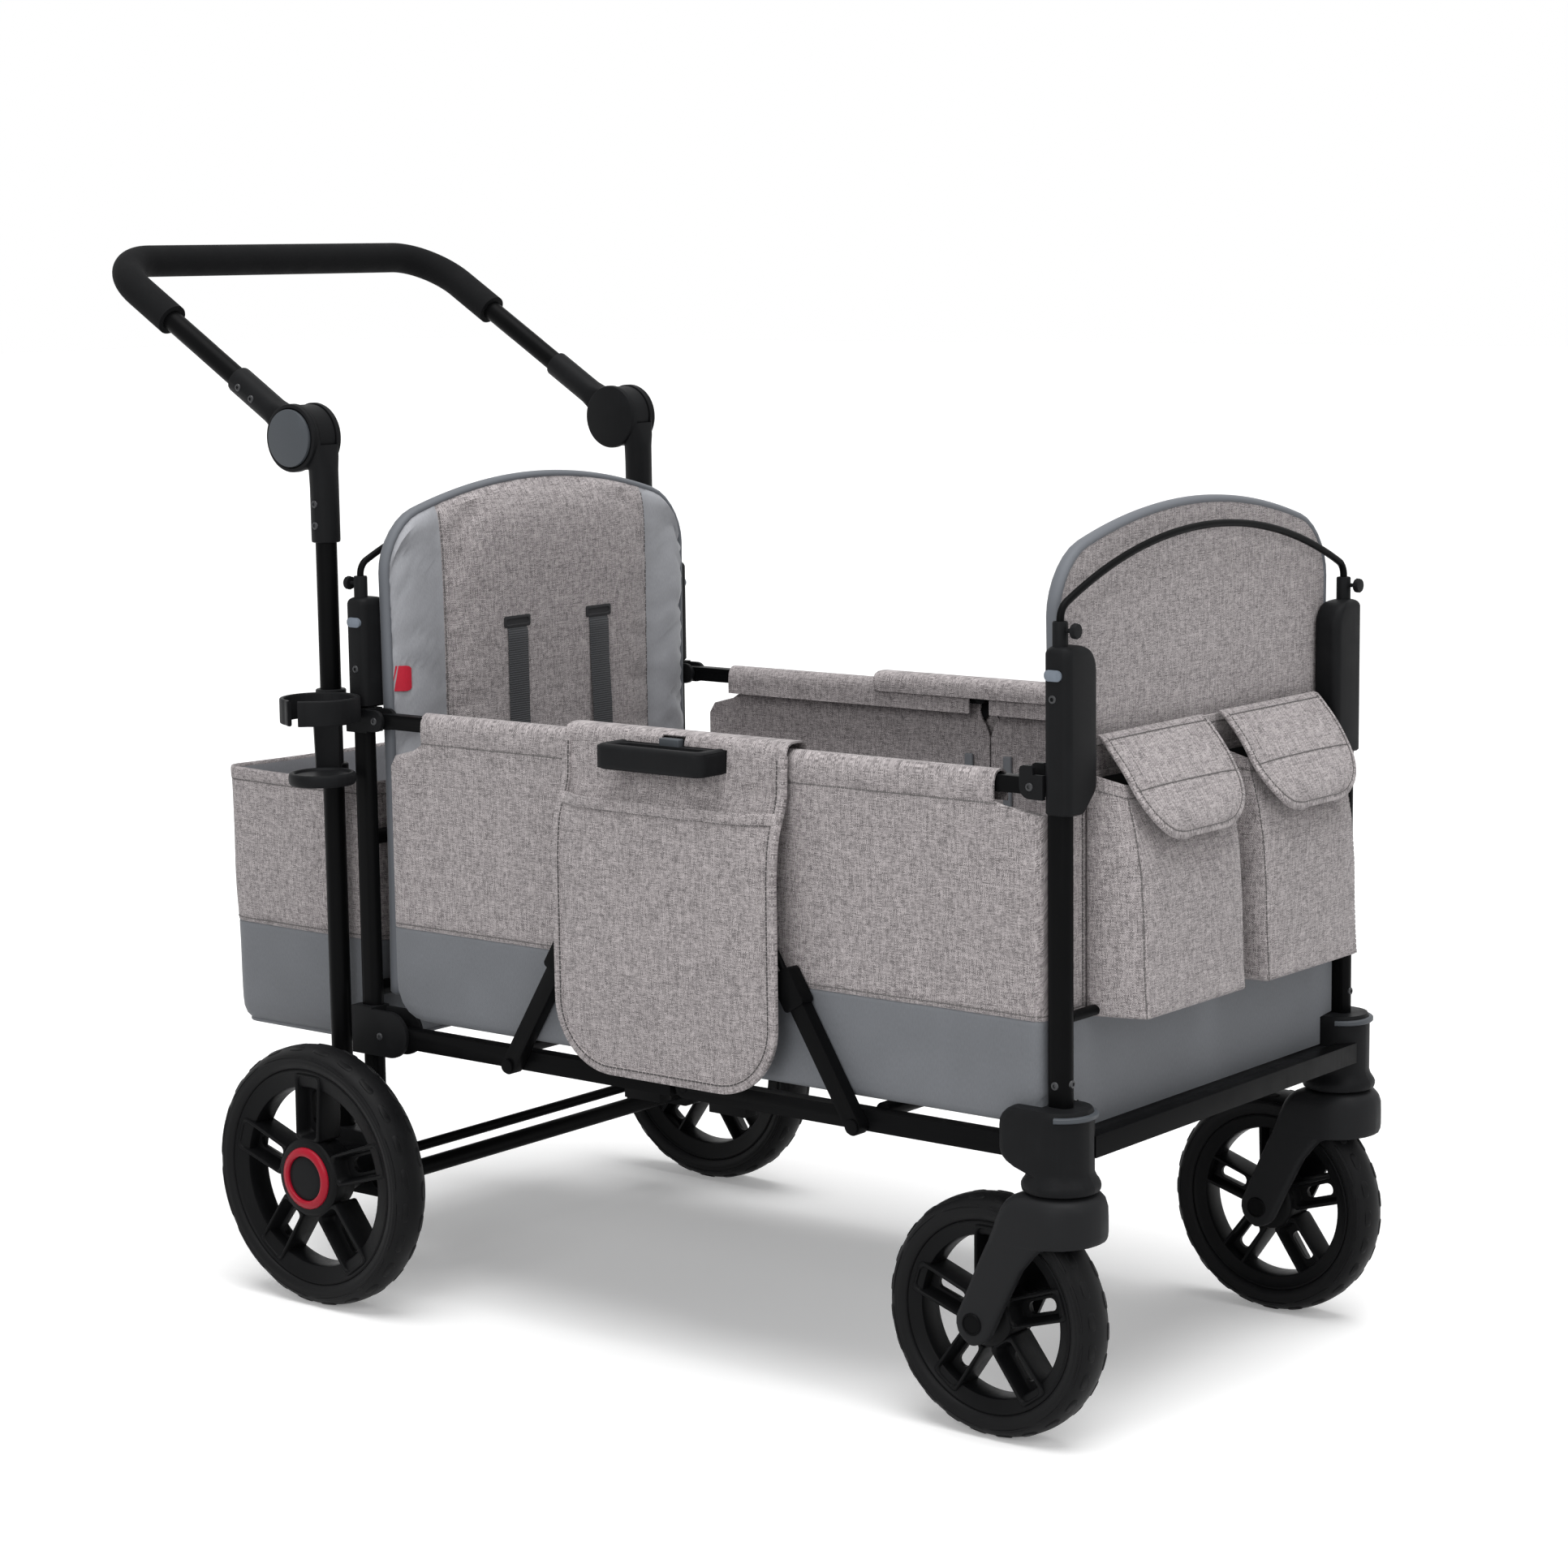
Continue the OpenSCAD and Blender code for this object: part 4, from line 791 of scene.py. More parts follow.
# Post x, back and front face, and the foot's rows of (z, inset, inner face)
HOUSINGS = {
    "rear": (0, -14, 13, ((616, 1.6, 208), (617.6, 0, 208))),
    "front": (POST_GAP, 848, 876, ((579, 1.6, 228), (580.6, 0, 226.4), (597, 0, 210),
                                       (601, 0, 208))),
}
HOUSING_CROWN = (700, 704, 710, 715, 719, 722, 724.4, 726.2, 727.4, 728.2)
BOW_SOCKET = ((7, 724), (7, 748.6), (6.4, 749.8), (4.6, 750), (4.2, 747))
RAIL_CHEEK = ([(849, 592), (835, 592)] + arc(835.0, TOP_Z, 11.0, -QUARTER, -math.pi, 8)[1:]
              + [(824, 618), (825.2, 620.8), (828, 622), (836, 622), (838, 620), (838.6, 614),
                 (849, 614)])
HUB_OUTER = ((0.5, 258.4), (34.4, 258.4), (35, 259.2), (35, 262.4), (34.5, 262.8), (35, 263.2), (35, 265.2),
             (34.5, 266.4), (33.3, 267), (31.3, 267), (30.2, 266.2), (30.2, 261.2), (0.5, 261.2))
HUB_INNER = ((0.5, 233.8), (34.4, 233.8), (35, 233), (35, 229.6), (34.2, 227.8), (32.4, 227), (0.5, 227))
HUB_ROOM = ((36.4, 234.2), (36.4, 258.2), (30.6, 258.2), (30.6, 270))
NECK = ((782.4, -61.6, -34.4, 232.4, 259.6, 13.5), (783, -62.6, -33.4, 231.4, 260.6, 14.5),
        (785, -63, -33, 231, 261, 14.9), (838, -63, -33, 231, 261, 14.9),
        (856, -63.2, -33.6, 230.8, 261.4, 14.4), (868, -64.8, -36, 229.6, 263.4, 11),
        (889, -70, -40, 229.6, 263.4, 4))
POLE = ((9.6, 140), (11, 140.8), (11, 466), (11, 790))
ARM_DRUM = ((8.2, 234.6), (32.7, 234.6), (33.5, 235.4), (33.5, 256.8), (32.7, 257.6), (8.2, 257.6))
# Distance along the arm, half height, out from, out to and corner radius
ARM = ((22, 14.5, 234.8, 257.4, 2), (36, 14.5, 234.8, 257.4, 4), (42, 14.5, 233.4, 258.6, 9),
       (50, 14.5, 231.5, 260.5, 14.3), (66, 14.5, 231.5, 260.5, 14.4), (109.6, 14.5, 231.5, 260.5, 14.4),
       (111.5, 14.1, 231.9, 260.1, 14), (112, 13.2, 232.8, 259.2, 13.1))


class WAGON_OT_housings(Operator):
    """Moulds the corner housings with their bow sockets, and the two handle hubs with their poles"""

    bl_idname = "wagon.housings"
    bl_label = "Housings and Hubs"

    def execute(self, context):
        for end in ("rear", "front"):
            piece(end + "_housings_moulded", both_sides(lambda side: self.housing(end, side)), "plastic",
                  end + "_end", "plastic", end + "_housings", sharp=34)
        for node, body, shapes in (("hub_bases", "rear_end", self.base), ("hub_arms", "push_bar", self.arm)):
            piece(node + "_moulded", both_sides(shapes), "plastic", body, "plastic", node, sharp=34)
        necks = both_sides(lambda side: [upright(NECK, side)])
        room = both_sides(lambda side: [turned(HUB, HUB_ROOM, 96, side, True)])
        settle(carved("hub_necks", necks, room, "plastic"), "rear_end", "plastic", "hub_bases")
        poles = both_sides(lambda side: [turned_up(POLE_X, HALF_TRACK, POLE, side, 32)])
        piece("handle_pole_tubes", poles, "paint", "rear_end", "frame_paint", "handle_poles", sharp=34)
        return {"FINISHED"}

    def housing(self, end, side):
        outer, top, soft = 257.0, 728.4, 8.0
        x, x0, x1, feet = HOUSINGS[end]
        inner = feet[-1][2]
        rows = [(z, x0 + i, x1 - i, out0 + i, outer - i, soft - i) for z, i, out0 in feet]
        for z in HOUSING_CROWN:
            i, lean = corner_drop(top - z, 7.0), corner_drop(728.0 - z, 24.0)
            rows.append((z, x0 + i, x1 - i, inner + max(lean, i), outer - i, min(soft, (x1 - x0) / 2 - i - 0.2)))
        shapes = [upright(rows, side), turned_up(x, HALF_TRACK, BOW_SOCKET, side, 32)]
        for out0 in (234.0, 253.5) if end == "front" else ():
            shapes.append(loft([[at(cx, side * out, cz) for cx, cz in RAIL_CHEEK] for out in (out0, out0 + 4.5)],
                               caps=True))
        return shapes

    def base(self, side):
        """Two round cheeks, the outer one recessed for its button."""
        return [turned(HUB, profile, 72, side, True) for profile in (HUB_OUTER, HUB_INNER)]

    def arm(self, side):
        c, s = math.cos(ARM_TURN), math.sin(ARM_TURN)
        loops = [[at(HUB[0] + d * c - p * s, side * ((out0 + out1) / 2 + q), HUB[2] + d * s + p * c)
                  for p, q in rounded_rect(half, (out1 - out0) / 2, r, 6)] for d, half, out0, out1, r in ARM]
        return [turned(HUB, ARM_DRUM, 72, side, True), loft(loops, caps=True)]


# Height, half angle and how much thinner the stem is there
CUP_STEM = ((541.6, 0.30, 0.6), (543, 0.33, 0), (560, 0.33, 0), (605, 0.36, 0), (629, 0.36, 0),
            (630.6, 0.33, 0.6))
CUP_FOOT = ((29, 541), (32.4, 541.6), (33.8, 543.2), (34.2, 546), (34.2, 550), (33.6, 552.6), (32.2, 553.8),
            (30, 554), (28.6, 553.2), (27.6, 551.4), (4, 550.8))


class WAGON_OT_cup_holder(Operator):
    """Bends the cup holder's open ring over its foot, with its stem and pole clamps"""

    bl_idname = "wagon.cup_holder"
    bl_label = "Cup Holder"

    def execute(self, context):
        x, out, radius, wall = -8.0, 300.8, 41.0, 2.3
        ring_z, ring_h, foot_z, foot_h = 605.0, 26.0, 541.0, 13.0
        turn = math.atan2(out - HALF_TRACK, POLE_X - x)
        reach = math.hypot(out - HALF_TRACK, POLE_X - x) - 8.0
        gap, mouth = math.radians(-83.0), math.radians(7.5)
        start, end = gap + mouth, gap + 2 * math.pi - mouth

        def spot(angle, r, z):
            return at(x + r * math.cos(angle), -out + r * math.sin(angle), z)

        ring, away = [], []
        for a in spread(90, start, end):
            flare = 3.6 * ease(1 - min(a - start, end - a) / 0.24)
            ring.append(spot(a, radius - wall + flare, ring_z + ring_h / 2))
            away.append(Vector((math.cos(a), math.sin(a), 0)))
        stem = [[spot(turn + way * t, r, z) for way, r in ((1, radius + 1.4 - thin), (-1, radius - 4.6 + thin))
                 for t in spread(9, -half, half)] for z, half, thin in CUP_STEM]
        build = Build(sweep(ring, rounded_rect(wall * MM, ring_h / 2 * MM, 1.9 * MM, 4, 1, 2), away),
                      loft(stem, caps=True), turned_up(x, out, CUP_FOOT, -1, 64))
        for z0, z1, begin in ((foot_z, foot_z + foot_h, 26.0), (ring_z, ring_z + ring_h, radius - 3.0)):
            clamp = [(14.6, z0), (15.8, z0 + 1.0), (15.8, z1 - 1.0), (14.6, z1)]
            build.add(*turned_up(POLE_X, HALF_TRACK, clamp, -1, 40))
            bar = [spot(turn, d, (z0 + z1) / 2) for d in spread(3, begin, reach)]
            build.add(*sweep(bar, rounded_rect(((z1 - z0) / 2 - 3.0) * MM, 8.0 * MM, 2.0 * MM, 4), UP))
        piece("cup_holder_moulded", build, "plastic", "rear_end", "plastic", "cup_holder", sharp=38)
        return {"FINISHED"}


# Places of the screws as (x, out, z), with True for one that faces forward
SCREWS = {
    "rear_end": ((POLE_X, 260.8, 800), (POLE_X, 260.8, 822), (0, 256.6, 655), (25, 262.8, FLOOR_Z),
                 (25, 257.8, TOP_Z)),
    "front_end": ((859, 256.6, 682), (859, 253.8, 336), (871.9, HALF_TRACK, 338, True),
                  (835, 257.8, TOP_Z)),
    "push_bar": tuple((HUB[0] + d * math.cos(ARM_TURN), 260.1, HUB[2] + d * math.sin(ARM_TURN))
                      for d in (74, 96)),
}
SCREW = ((4, -0.8, False), (4, 0.6, False), (3.5, 1.2, False), (2, 1.5, True), (1.9, 0.3, True))


class WAGON_OT_fasteners(Operator):
    """Drives the socket screws that show on the frame, one mesh for each body"""

    bl_idname = "wagon.fasteners"
    bl_label = "Screws"

    def execute(self, context):
        shape = self.screw()
        for body, places in SCREWS.items():
            points = [(at(x, side * out, z), (1, 0, 0) if ahead else (0, side, 0), UP)
                      for x, out, z, *ahead in places for side in (-1, 1)]
            copies(body + "_screws", points, shape, "screw", body, "frame_paint")
        remove_template(shape)
        return {"FINISHED"}

    def screw(self):
        """A low dome with a six-sided socket."""
        rows, sixth = [], math.pi / 6
        for r, z, six in SCREW:
            flats = [math.cos(sixth) / math.cos((sixth * k + sixth) % (2 * sixth) - sixth) if six else 1.0
                     for k in range(12)]
            rows.append([Vector((a * flat, b * flat, z)) * MM for flat, (a, b) in zip(flats, circle(r, 12))])
        return raise_piece("screw_shape", Build(loft(rows, caps=True)), sharp=30)


# Distance from the socket and radius along a thumbscrew
THUMBSCREW = ((3.8, 2), (13.4, 2), (13.6, 6.2), (14.2, 7), (18.2, 7), (19, 6.2), (19.2, 3))


class WAGON_OT_bows(Operator):
    """Bends the two bow rods and adds their thumbscrews"""

    bl_idname = "wagon.bows"
    bl_label = "Bows"

    def execute(self, context):
        arc_r, bend_r, foot, rod = 560.0, 16.0, 736.0, 3.5
        for end, x, way in (("rear", 0.0, -1), ("front", POST_GAP, 1)):
            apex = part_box(end + "_bow")[1].z / MM - rod
            tilt = math.asin((HALF_TRACK - bend_r) / (arc_r - bend_r))
            bend_z = apex - arc_r + (arc_r - bend_r) * math.cos(tilt)
            half = [(-HALF_TRACK, z) for z in spread(3, foot, bend_z)]
            half += arc(bend_r - HALF_TRACK, bend_z, bend_r, math.pi, QUARTER + tilt, 8)[1:]
            half += arc(0.0, apex - arc_r, arc_r, QUARTER + tilt, QUARTER, 24)[1:]
            build = Build(sweep([at(x, y, z) for y, z in both_halves(half)], circle(rod * MM, 14)))
            for side in (-1, 1):
                build.add(*self.thumbscrew(x, side, way), paint=1)
            piece(end + "_bow_rod", build, "paint plastic", end + "_end", "frame_paint", end + "_bow", sharp=35)
        return {"FINISHED"}

    def thumbscrew(self, x, side, way):
        rings = []
        for d, r in THUMBSCREW:
            knurled = [r - (0.7 if r > 6.5 and k % 2 else 0.0) for k in range(24)]
            rings.append([at(x + way * d, side * HALF_TRACK + k * a, 742.0 + k * b)
                          for k, (a, b) in zip(knurled, circle(1.0, 24))])
        return loft(rings, caps=True)


TREAD_RISE, TREAD_HALF, TYRE_DEPTH = 13, 21.5, 23


def tyre_profile(radius):
    """Half-round tread on straight side walls, as (radius, distance outwards)."""
    rim = radius - TYRE_DEPTH
    wall = [(rim, 17.5), (rim + 2.0, 19.3), (rim + 5.0, 20.7), (rim + 8.4, 21.6), (rim + 9.4, 21.2)]
    tread = [(radius - TREAD_RISE * (1 - math.cos(t)), TREAD_HALF * math.sin(t))
             for t in spread(23, -QUARTER, QUARTER)]
    return [(r, -o) for r, o in wall] + tread + list(reversed(wall))


def tread_shape(radius, pads):
    """Low pads that follow the tread near angle 0: (turn, tilt, half length, half width), in radians."""
    build = Build()
    for turn, tilt, half_a, half_t in pads:
        rows = []
        for size, lift in ((1.0, -0.5), (1.0, 0.12), (0.84, 0.8)):
            row = []
            for a, b in rounded_rect(1.0, 1.0, 0.6, 3, 4 if half_a > 0.1 else 1, 1):
                a, t = turn + a * half_a * size, tilt + b * half_t * size
                face = Vector((TREAD_HALF * math.cos(t), 0, TREAD_RISE * math.sin(t))).normalized()
                p = Vector((radius - TREAD_RISE * (1 - math.cos(t)), 0, TREAD_HALF * math.sin(t))) + face * lift
                row.append(Vector((p.x * math.cos(a), p.x * math.sin(a), p.z)) * MM)
            rows.append(row)
        build.add(*loft(rows, caps=True))
    return raise_piece("tread_shape", build)


REAR_HUB = ((5.8, 21.4), (36.5, 21.4), (39.2, 20.6), (41, 18.4), (41, 9), (37, 3), (37, -12),
            (28, -17), (20, -53), (5.8, -53))
FRONT_HUB = ((5.8, 31.5), (12, 31.5), (13.5, 30), (15, 23), (22.5, 20.6), (25.5, 19.6), (27, 17.6),
             (27, 4))
HUB_RING = ((23.4, 21), (23.4, 24.4), (24.2, 25.6), (26, 26), (29.2, 25.2), (31.6, 23.8), (32.2, 22.6),
            (32.2, 21))
HUB_CAP = ((0.4, 24), (8, 24), (16, 23.8), (21.5, 23.3), (23.3, 22.4), (23.3, 21.2))
# Loops of a spoke's rib and tray before and after its slot: inset, corner radius, distance outwards and slope
SPOKE_FACE = ((1.2, 2, -13.5, 0), (0.2, 3, -12, 0), (0, 3, 13, 1), (0.3, 3.5, 16.6, 1.2),
              (1, 4, 18, 1.3), (2, 5, 18.5, 1.3), (3, 5, 18.1, 1.3), (3.8, 6, 16.4, 1.2),
              (4.8, 7, 6, 0), (6.6, 7, 2.8, 0))
SPOKE_BACK = ((6.6, 7, -2.8, 0), (4.8, 7, -6, 0), (3.6, 5, -13, 0))


def both_faces(profile):
    """A turned profile on the outer face and its mirror image on the inner face."""
    return [*profile, *((r, -o) for r, o in reversed(profile))]


class WAGON_OT_wheels(Operator):
    """Builds the tyres with their tread pads, and the twin-rib wheels"""

    bl_idname = "wagon.wheels"
    bl_label = "Wheels"

    def execute(self, context):
        for hand, side in SIDES:
            self.wheel("rear", hand, side, (-12.0, 316.0, 136.0), 35.0)
            self.wheel("front", hand, side, FRONT_AXLE, 30.0)
        return {"FINISHED"}

    def wheel(self, end, hand, side, centre, spoke):
        radius = centre[2]
        body = f"{end}_wheel_{hand}"
        tag = f"{end}_{hand}"
        piece("tyre_" + tag, Build(turned(centre, tyre_profile(radius), 144, side)), "tyre", body, "tyre",
              f"{end}_tyre_{hand}", sharp=50)
        count = bpy.context.scene.wagon_hard.tread_count
        step = 2 * math.pi / count
        shoulder = [(step * k / 2, math.radians(35) * way, step * 0.30, 0.19) for k, way in ((0, -1), (1, 1))]
        walls = [(step * k, math.radians(73) * way, step * 0.86, 0.10) for k, way in ((0, -1), (1, 1))]
        for name, pads, every in (("tread_", shoulder, 1), ("side_tread_", walls, 2)):
            shape = tread_shape(radius, pads)
            places = [(at(centre[0], side * centre[1], centre[2]), (0, side, 0), (math.cos(a), 0, math.sin(a)))
                      for a in (step * k for k in range(0, count, every))]
            copies(name + tag, places, shape, "tyre", body, "tyre")
            remove_template(shape)
        self.rim(end, tag, body, centre, radius - TYRE_DEPTH, spoke, side)

    def rim(self, end, tag, body, centre, rim_r, spoke, side):
        inner, hub = (rim_r - 20.0, REAR_HUB) if end == "rear" else (rim_r - 15.0, both_faces(FRONT_HUB))
        hub_r = max(r for r, _ in hub)
        lip = ((rim_r, 15.5), (rim_r - 0.6, 17.2), (rim_r - 2.2, 17.7), (rim_r - 3.6, 16.9), (rim_r - 4.4, 16.2),
               (inner + 3.5, 14.4), (inner + 1.2, 13.2), (inner, 10.5))
        spokes = [self.spoke(centre, math.radians(90 + 72 * k), hub_r - 3, rim_r - 4.6, spoke, side)
                  for k in range(5)]
        build = Build(turned(centre, both_faces(lip), 120, side), turned(centre, hub, 72, side), *spokes)
        piece("wheel_" + tag, build, "rim", body, "plastic", body, sharp=38)
        if end == "rear":
            piece("hub_ring_" + tag, Build(turned(centre, HUB_RING, 72, side)), "red", body, "accent", sharp=50)
            piece("hub_cap_" + tag, Build(turned(centre, HUB_CAP, 64, side, True)), "plastic", body, "plastic",
                  sharp=50)

    def spoke(self, centre, angle, start, end, width, side):
        """A spoke like a deep tray: a rounded rib round a slotted floor, running out onto the rim."""
        direction = Vector((math.cos(angle), 0, math.sin(angle)))
        across = Vector((-math.sin(angle), 0, math.cos(angle)))
        origin = at(centre[0], side * centre[1], centre[2])
        mid, half = (start + end) / 2, (end - start) / 2

        def loop(inset, radius, out, slope, shift=0.0, size=1.0):
            points = []
            for a, b in rounded_rect(half * size - inset, width / 2 - inset, radius, 6):
                step = direction * (mid + shift + a) + across * (b * (1 + 0.06 * a / half))
                points.append(origin + (step + Vector((0, side * (out - slope * a / half), 0))) * MM)
            return points

        slot_edge = 9.0
        slot = [loop(slot_edge, width / 2 - slot_edge - 0.4, out, 0.0, -2.0, 0.78) for out in (2.2, -2.2)]
        loops = [loop(*row) for row in SPOKE_FACE] + slot + [loop(*row) for row in SPOKE_BACK]
        return loft(loops, closed_path=True)


BRACKET_RINGS = ((240.2, 33), (241.4, 35.2), (244, 36), (247, 36), (250, 34.6), (253, 32.4),
                 (256, 31))
# Height, back face and back corner radius
BRACKET_BLOCK = ((259, 824, 24), (262, 819, 18), (266, 814.2, 14), (271, 810.8, 11),
                 (278, 809, 10), (298, 809, 10), (304, 809.8, 10), (309, 812, 11),
                 (313, 815.6, 13), (315.2, 819.4, 14), (316.2, 823, 14))
# Height, back and front, half width, back and front corner radius
BOOT = ((239.6, 840, 882, 24, 10, 21), (238.9, 833, 888.5, 31, 12, 28),
        (236.4, 826.5, 895, 36.8, 13, 34), (232, 821.5, 899.2, 40.2, 13, 38),
        (226, 817.8, 901.4, 41.7, 12, 40), (216, 813.8, 902, 42, 10, 41),
        (203, 809.4, 902, 42, 9, 41), (198, 807.4, 901.4, 42, 8, 41),
        (195.2, 806.4, 899.4, 42, 8, 39), (194, 805.9, 894, 42, 8, 36),
        (193.4, 805.7, 882, 42, 8, 28), (192.4, 805.2, 868, 42, 8, 18),
        (189.4, 803.8, 859.5, 42, 7, 10), (184, 801.4, 854, 42, 6.5, 7))
LEG_HEIGHTS = (170, 152, 134, 126, 122, 117, 111, 105, 101, 97.5, 95.2, 93.8)
AXLE_CAP = ((10.4, 40), (10.4, 42.8), (9.8, 43.6), (8.6, 43.8), (8.2, 42.9), (0.3, 42.9))


def caster_moulding(rows, side):
    """A moulding about the caster's middle plane: (z, x0, x1, half width, back radius, front radius)."""
    return Build(upright([(z, x0, x1, HALF_TRACK - half, HALF_TRACK + half, *soft)
                          for z, x0, x1, half, *soft in rows], side, 7))


class WAGON_OT_casters(Operator):
    """Moulds the caster brackets and the boot-shaped forks, with their axles and stems"""

    bl_idname = "wagon.casters"
    bl_label = "Casters"

    def execute(self, context):
        tabs = Build()
        for hand, side in SIDES:
            self.fork("fork_" + hand, side)
            settle(self.bracket("caster_bracket_" + hand, side), "front_end", "plastic", "caster_brackets")
            swing, rows = math.radians(68), []
            for inset, z in ((1.2, 307.6), (0.0, 308.6), (0.0, 311.6), (1.2, 312.6)):
                ring = arc(0, 0, 33.6 - inset, -swing, swing, 17) + arc(0, 0, 20.0 + inset, swing, -swing, 17)
                rows.append([at(POST_GAP + a, side * HALF_TRACK + b, z) for a, b in ring])
            tabs.add(*loft(rows, caps=True))
        piece("caster_tabs", tabs, "slate", "front_end", "accent")
        return {"FINISHED"}

    def bracket(self, name, side):
        rows = [(z, POST_GAP - r, POST_GAP + r, r, r - 0.1) for z, r in BRACKET_RINGS]
        for z, back, soft in BRACKET_BLOCK:
            inset = max(0.0, z - 312.0) * 0.5
            rows.append((z, back, 890.0 - inset, 30.0 - inset, soft, 29.5 - inset))
        rail = [(790.0, 241.5), (848.0, 241.5), (848.0, 258.5), (790.0, 258.5)]
        stem = [(POST_GAP + a, HALF_TRACK + b) for a, b in circle(10.3, 32)]
        room = Build(*(loft([[at(x, side * out, z) for x, out in outline] for z in (230.0, top)], caps=True)
                       for outline, top in ((rail, 330.0), (stem, 294.6))))
        return carved(name, caster_moulding(rows, side), room, "plastic")

    def fork(self, body, side):
        ax, _, az = FRONT_AXLE
        boss, lean, cosine, sine = 20.0, 0.4876, 0.899, 0.438
        rows = list(BOOT)
        for z in LEG_HEIGHTS:
            half = lerp(boss, 21.5, ease((z - 122.0) / 66.0)) / cosine
            fall = math.sqrt(max(0.0, boss ** 2 - (z - az) ** 2))
            x0 = ax + (z - az) * lean - half if z > az + boss * sine else ax - fall
            x1 = ax + (z - az) * lean + half if z > az - boss * sine else ax + fall
            rows.append((z, x0, x1, 42.0, min(6.0, (x1 - x0) * 0.45)))
        room = Build(turned(FRONT_AXLE, [(117.5, -33.0), (117.5, 33.0)], 120, side, True))
        settle(carved(body + "_boot", caster_moulding(rows, side), room, "boot"), body, "plastic", body)
        trim = Build(*(turned(FRONT_AXLE, [(r, way * o) for r, o in AXLE_CAP], 40, side, True) for way in (-1, 1)),
                     turned_up(POST_GAP, HALF_TRACK, [(10.0, 236.0), (10.0, 292.0), (9.0, 293.5)], side, 40),
                     turned(FRONT_AXLE, [(5.7, -34.0), (5.7, 34.0)], 32, side, True))
        piece(body + "_axle", trim, "paint", body, "frame_paint", sharp=35)


# ---- soft pieces ----


def grid_area(grid):
    """Area of the cells of a grid, in square metres."""
    return sum((b1 - a0).cross(a1 - b0).length / 2 for a, b in zip(grid, grid[1:])
               for a0, a1, b0, b1 in zip(a, a[1:], b, b[1:]))


def declare_sheet(grid):
    """Works out the flat width, length and area of a cloth grid, and keeps none of them."""
    width = max(run_along(row)[-1] for row in zip(*grid))
    length = max(run_along(column)[-1] for column in grid)
    min(grid_area(grid), width * length)


# Rows of a side wall as (out, z): tucked foot, face, over the top rail and down inside
WALL_OUT, WALL_FOOT, WALL_SEAM = 257.5, 296, 588
WALL_ROWS = ([(247.5, 296.6), (252.5, 296.9), (255.8, 299.4), (257.2, 305)]
             + [(WALL_OUT, z) for z in spread(7, 314.0, 388.0)]
             + [(257.3, 390.8), (256.2, BAND_Z), (257.4, 393.2)]
             + [(WALL_OUT, z) for z in spread(16, 402.0, 570.0)]
             + [(WALL_OUT, 577), (WALL_OUT, 583), (257.1, 587), (257.7, 589), (257.9, 594), (257.8, 600),
                (257, 606.5), (254.6, 611.6), (250.7, 614.4), (246, 615), (241.3, 614.4), (237.6, 611.6),
                (235.2, 606.5), (234.5, 600), (234.4, 592), (234.5, 585)])


